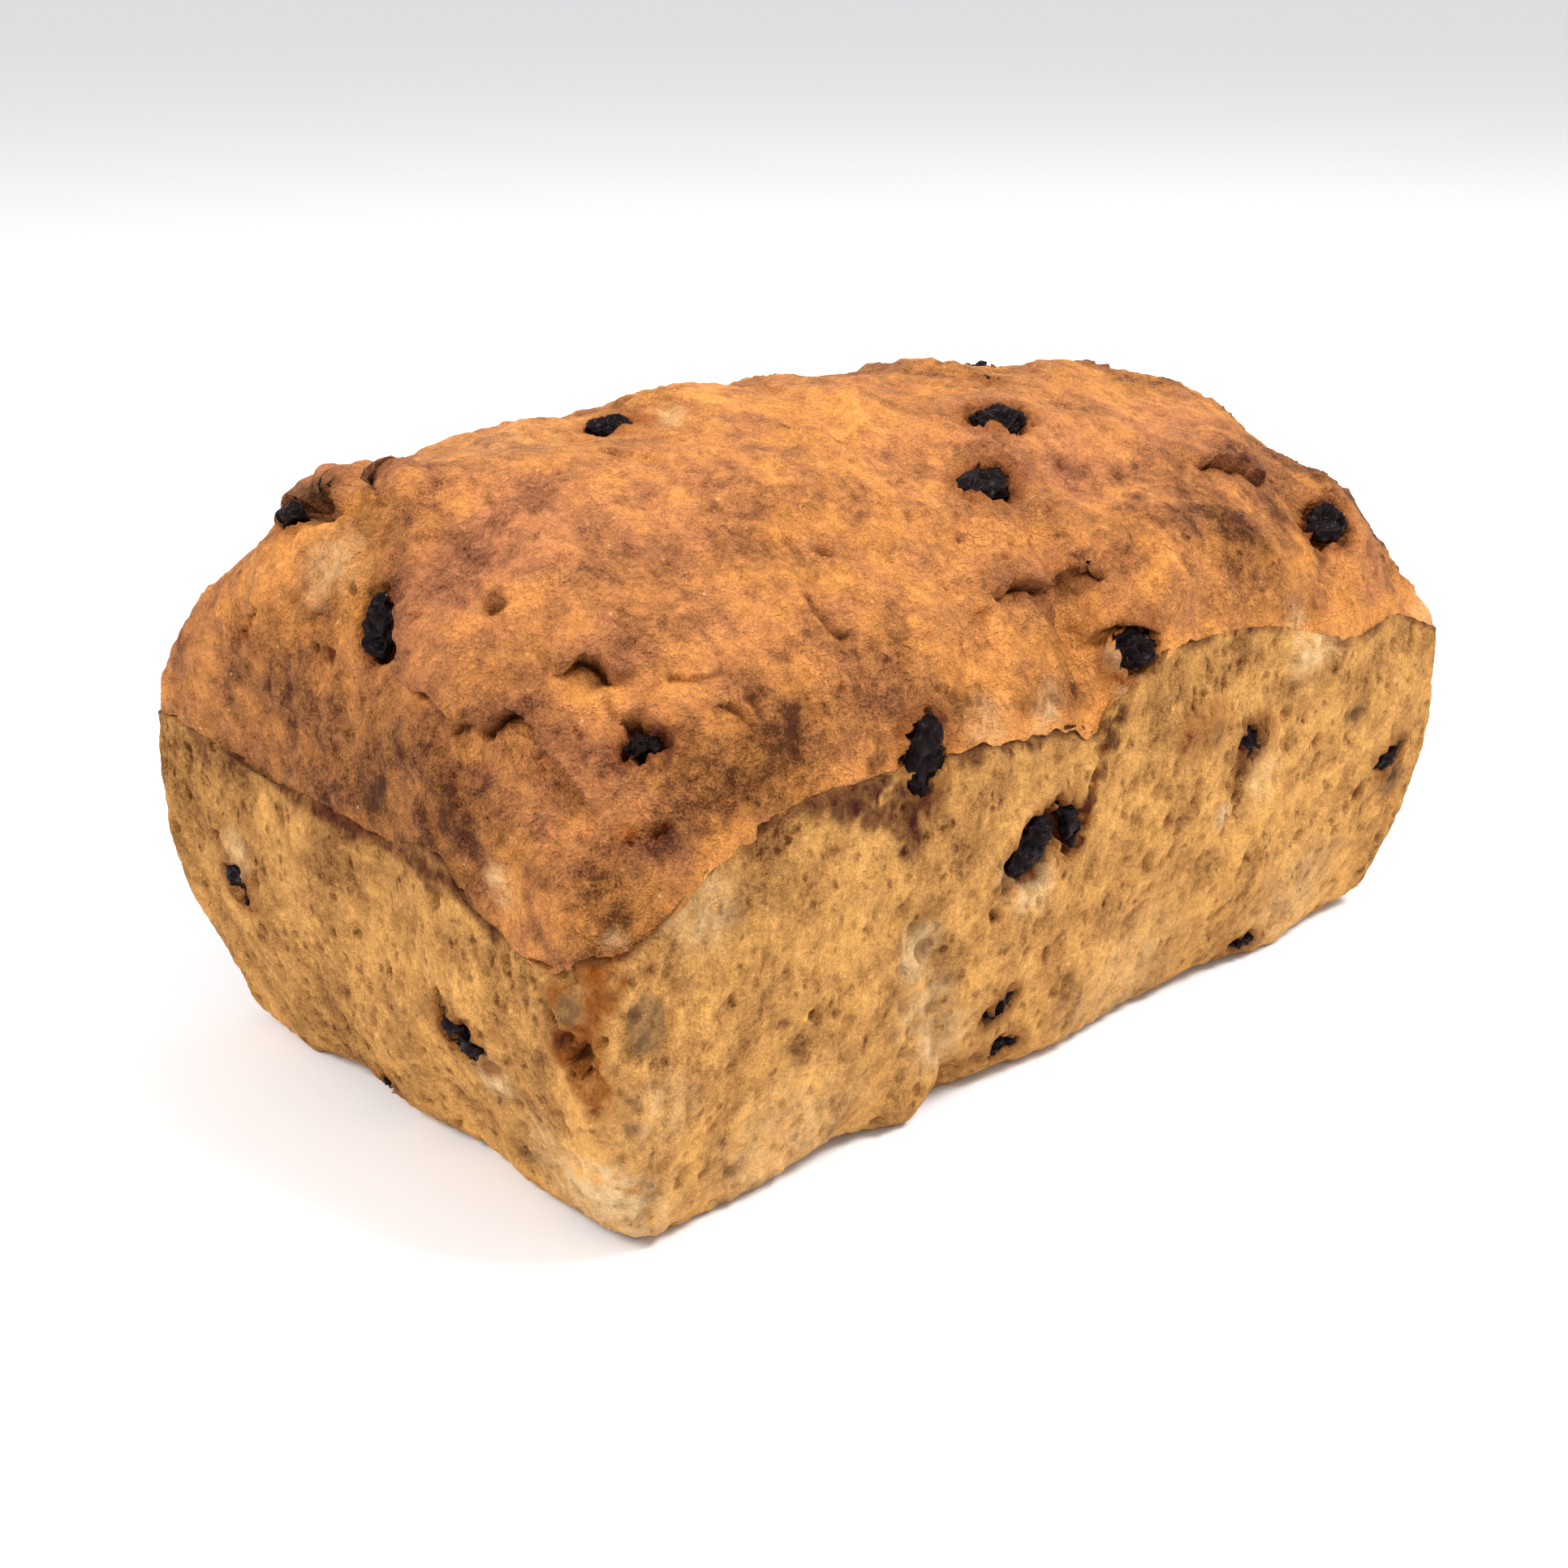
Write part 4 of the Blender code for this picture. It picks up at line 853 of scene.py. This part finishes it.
CRUST_STAIN = (
    (-78, -46.5, 69.3, 5, 1.1), (-76, -49, 69, 4, 0.5), (-81.8, -53, 60.6, 2.2, 0.7),
    (-80.3, 6.6, 94.2, 3, 0.6), (-92.8, -28.6, 72.2, 1.8, 0.9), (66, -46.5, 74.4, 4, 0.8),
    (64.5, -49.4, 70, 3.4, 0.9), (71.6, -48.8, 70, 3, 0.5), (2.8, -30.5, 87.4, 8, 0.45),
    (18, -18.5, 94, 9, 0.35), (-63.6, -49.4, 74.8, 2.2, 1), (-64.4, -51.4, 72.2, 1.8, 0.8),
    (-46, -55, 62.5, 4, 0.8), (-96, -16.9, 65.4, 1.6, 1), (-94, -38, 60, 2.4, 0.4),
    (-85.2, -23.2, 86.3, 1.4, 0.5), (-33.5, -54.6, 65.5, 2.5, 0.8), (-35, -52.5, 68.5, 1.6, 0.8),
    (-94.2, -17.6, 75.2, 0.9, 1.2), (-96.2, 26, 60, 3, 0.3), (38, -38, 83.5, 5, 0.35),
    (26, -40, 84, 3, 0.4), (-89.5, -46, 60, 1.6, 0.5), (-96, -29, 57, 3, 0.6),
)
CRUST_CARAMEL = (
    (-82.6, -52.2, 60.9, 2.8, 0.9), (-85.6, -49.6, 60.8, 2.6, 0.8), (5.5, -55, 63, 6, 0.7),
    (0, -50, 70, 5, 0.6), (2, -46, 77, 4, 0.7), (-9, -45.4, 77.4, 3.4, 0.7), (65.5, -47.5, 72.6, 4, 1),
    (-82.6, 19.5, 91.5, 5, 0.8), (-84.6, 25, 89.6, 3.4, 0.8), (-91.2, -53.9, 47.6, 3.4, 0.7),
    (-38, 2, 98, 4, 0.9), (55, -34.5, 83, 3, 0.6), (-18.6, -48.4, 75.6, 2.6, 0.9),
    (-14.4, -44, 80, 1.6, 0.8), (-36.7, -35, 86.3, 1.8, 0.7), (-94.9, 24.4, 72.4, 2.6, 0.9),
    (-91.2, 0.8, 83.6, 1.2, 0.9), (-94.8, 2.4, 74, 1.8, 0.7),
)
CRUST_PALE = (
    (-91, -53.4, 49, 3, 0.5), (-25, -55.8, 62.6, 6, 0.3), (-12, -55.8, 61.6, 6, 0.4), (90, -54, 54, 7, 0.5),
    (-60, 10, 99, 22, 0.1), (-35, 0.5, 98, 5, 0.5), (-88.5, 8, 84, 9, 0.35), (50, -55.8, 61.5, 6, 0.4),
    (5, -56.4, 60.8, 3, 0.8), (4.5, -55.4, 65, 3.2, 1.3), (1.8, -54.6, 67, 3, 1),
    (-85, -51.5, 57.2, 2.2, 0.4), (-96, -36, 52.5, 5, 0.5), (-92, -12.5, 77.5, 4, 0.3),
)
near_raisin = fade(3.2, 0.2, gaps)
above_lip = dome[:, 2] - lip_height(dome[:, 0], dome[:, 1])
browning = 0.44 + spots(dome, CRUST_BROWN) + 0.15 * ripple(dome, 13, 52) + 0.1 * ripple(dome, 5, 53)
browning += 0.14 * folds * ease(-0.15, 0.35, ripple(dome, 20, 46)) + 0.06 * crests - 0.1 * grit
golden_edge = fade(5, 0.4, above_lip) * fade(-84, -76, dome[:, 0])
ragged = 1 + 1.1 * ripple(dome, 2.4, 58) + 0.9 * ripple(dome, 1.3, 59)
write_share(crust, "browning", browning - 0.22 * golden_edge)
write_share(crust, "ruddy", 0.3 + spots(dome, CRUST_RUDDY) + 0.25 * ripple(dome, 18, 54) + 0.22 * crests
            - 0.5 * golden_edge)
write_share(crust, "pale", spots(dome, CRUST_PALE) * ragged)
# Besides real stains and caramel, these shares carry painted shade: the skirt rings under the crust's edge
# are painted dark, and the furrows under lobe edges are darkened.
write_share(crust, "stain", 1.6 * spots(dome, CRUST_STAIN) * ragged + 0.15 * near_raisin + 0.26 * furrow_shade
            + 0.1 * crests + np.where(skin, 0.0, 0.7))
write_share(crust, "caramel", spots(dome, CRUST_CARAMEL) * ragged + 0.35 * furrow_shade + 0.5 * near_raisin)
# On the crust the green share holds only painted shade, under the blister's hood.
write_share(crust, "green", spots(dome, HOOD_SHADE))
# The hollow share is painted shade: it darkens pits, small burst bubbles and the holes over raisins.
write_share(crust, "hollow", -crust_hollow / (1.6 * MM) + 0.6 * small_pits + 1.4 * opened)

# Oven crust: browned skin, slightly satin, mottled from gold to red-brown, with fine dry grain.
crust.data.materials.clear()
crust.data.materials.append(bread_material(
    "oven_crust", ("#ec9d52", "#3a1704"), ("#e29262", "#34140a"), pore=(3.0, 0.14, 1.0),
    relief=(2.15, 0.9, 0.44, -0.5, 0.35), tint=(-0.61, -0.46, -0.66, 0.3, -0.12), roughness=0.54))
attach(crust, "root")
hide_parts("loaf")

# ---- The raisins ----
# Dried grapes, wrinkled and almost black, kneaded into the dough; the outermost ones lie open in
# the skin, where the oven dried them further.
WRINKLE_WIDTH = 2.8
WRINKLE_DEPTH = 1.3 * MM
SHRUNK_BY = 0.35 * MM

raisin_skin = bpy.data.materials.new("dried_grape_skin")
raisin_skin.use_nodes = True
raisin_skin.node_tree.nodes.clear()
place = add_node(raisin_skin, "TexCoord").outputs["Object"]
bloom = add_node(raisin_skin, "TexNoise", None,
                 {"Vector": place, "Scale": 1 / (1.3 * MM), "Detail": 4.0}).outputs["Fac"]
folds = add_node(raisin_skin, "Attribute", {"attribute_name": "fold"}).outputs["Fac"]
wrinkle_shade_and_highlight = add_node(raisin_skin, "Math", {"operation": "MULTIPLY_ADD"}, {0: folds, 1: 0.5, 2: bloom})
# Painted shade and highlight: the skin is darker down in its wrinkles and paler towards their tops, over
# random tone from the bloom noise, and dark again at the very top of the range.
stops = ((0.35, "#010101"), (0.996, "#1c1213"), (1.0, "#090506"))
tint = add_node(raisin_skin, "ValToRGB", None, {"Fac": wrinkle_shade_and_highlight.outputs[0]}, stops)
surface = add_node(raisin_skin, "Bump", None,
                   {"Strength": 0.8, "Distance": 0.12 * MM, "Height": bloom})
finish = add_node(raisin_skin, "BsdfPrincipled", None,
                  {"Base Color": tint.outputs["Color"], "Roughness": 0.32, "IOR": 1.48,
                   "Specular IOR Level": 0.04, "Normal": surface.outputs["Normal"]})
add_node(raisin_skin, "OutputMaterial", None, {"Surface": finish.outputs["BSDF"]})

for number, name in enumerate(RAISINS):
    low, high = (np.array(corner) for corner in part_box(name))
    bpy.ops.object.select_all(action="DESELECT")
    bpy.ops.mesh.primitive_ico_sphere_add(subdivisions=5, radius=0.5, location=(low + high) / 2,
                                          scale=(high - low) * 1.1)
    raisin = bpy.context.object
    raisin.name = "dried_" + name
    bpy.ops.object.transform_apply(location=True, rotation=True, scale=True)
    wrap = raisin.modifiers.new("wrap", "SHRINKWRAP")
    wrap.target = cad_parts[name]
    wrap.wrap_method = "NEAREST_SURFACEPOINT"
    bpy.ops.object.modifier_apply(modifier="wrap")
    smooth = raisin.modifiers.new("smooth", "SMOOTH")
    smooth.iterations = 6
    bpy.ops.object.modifier_apply(modifier="smooth")
    points = read_points(raisin)
    outward = write_points(raisin, points)
    swirl = np.stack([ripple(points, 3, 60.0 + number + axis) for axis in range(3)], axis=-1) * 0.9 * MM
    ridged = 1 - np.abs(ripple(points + swirl, WRINKLE_WIDTH, 70.0 + number)) * 2.6
    lumps = ripple(points, 3.4, 90.0 + number)
    crinkles = 1 - np.abs(ripple(points + swirl, 1.3, 80.0 + number)) * 2.6
    rise = WRINKLE_DEPTH * (np.clip(ridged, -0.4, 1.0) - 1) * 0.6 - SHRUNK_BY
    rise += 0.3 * MM * crinkles + 0.4 * MM * lumps
    write_points(raisin, points + outward * rise[:, None])
    write_share(raisin, "fold", 0.35 + 0.3 * ridged + 0.25 * crinkles)
    smooth_faces(raisin)
    raisin.data.materials.append(raisin_skin)
    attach(raisin, "root")
    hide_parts(name)

# ---- The studio ----
# A white sheet under the loaf, soft light from all round and from two soft boxes, and the
# camera at the photograph's height and distance.
bpy.ops.object.select_all(action="DESELECT")
bpy.ops.mesh.primitive_plane_add(size=40.0, location=(0.0, 0.0, -0.0001))
floor = bpy.context.object
floor.name = "white_sheet"
paper = bpy.data.materials.new("white_paper")
paper.use_nodes = True
paper.node_tree.nodes["Principled BSDF"].inputs["Base Color"].default_value = colour("#e6e6e8")
paper.node_tree.nodes["Principled BSDF"].inputs["Roughness"].default_value = 0.9
floor.data.materials.append(paper)

world = bpy.data.worlds.new("studio")
bpy.context.scene.world = world
world.use_nodes = True
world.node_tree.nodes["Background"].inputs["Color"].default_value = (1.0, 1.0, 1.0, 1.0)
world.node_tree.nodes["Background"].inputs["Strength"].default_value = 0.9

LOAF_MIDDLE = (0.0, 0.0, 0.04)
SOFT_BOXES = (
    # name, place, size and watts
    ("soft_box_front", (0.4, -0.62, 1.15), 0.45, 19.0),
    ("soft_box_left", (-0.85, 0.1, 0.8), 0.4, 9.0),
)
for name, place, size, watts in SOFT_BOXES:
    bpy.ops.object.light_add(type="AREA", location=place)
    light = bpy.context.object
    light.name = name
    light.data.size = size
    light.data.energy = watts
    light.rotation_euler = (Vector(LOAF_MIDDLE) - Vector(place)).to_track_quat("-Z", "Y").to_euler()

CAMERA_PLACE = (-247.46 * MM, -252.31 * MM, 166.98 * MM)
CAMERA_TILT = math.radians(90.0 - 21.0)
CAMERA_AZIMUTH = math.radians(-43.0)
bpy.ops.object.camera_add(location=CAMERA_PLACE, rotation=(CAMERA_TILT, 0.0, CAMERA_AZIMUTH))
camera = bpy.context.object
camera.data.sensor_width = 36.0
camera.data.lens = 51.24
camera.data.clip_start = 0.01
bpy.context.scene.camera = camera
bpy.context.scene.view_settings.view_transform = "Standard"
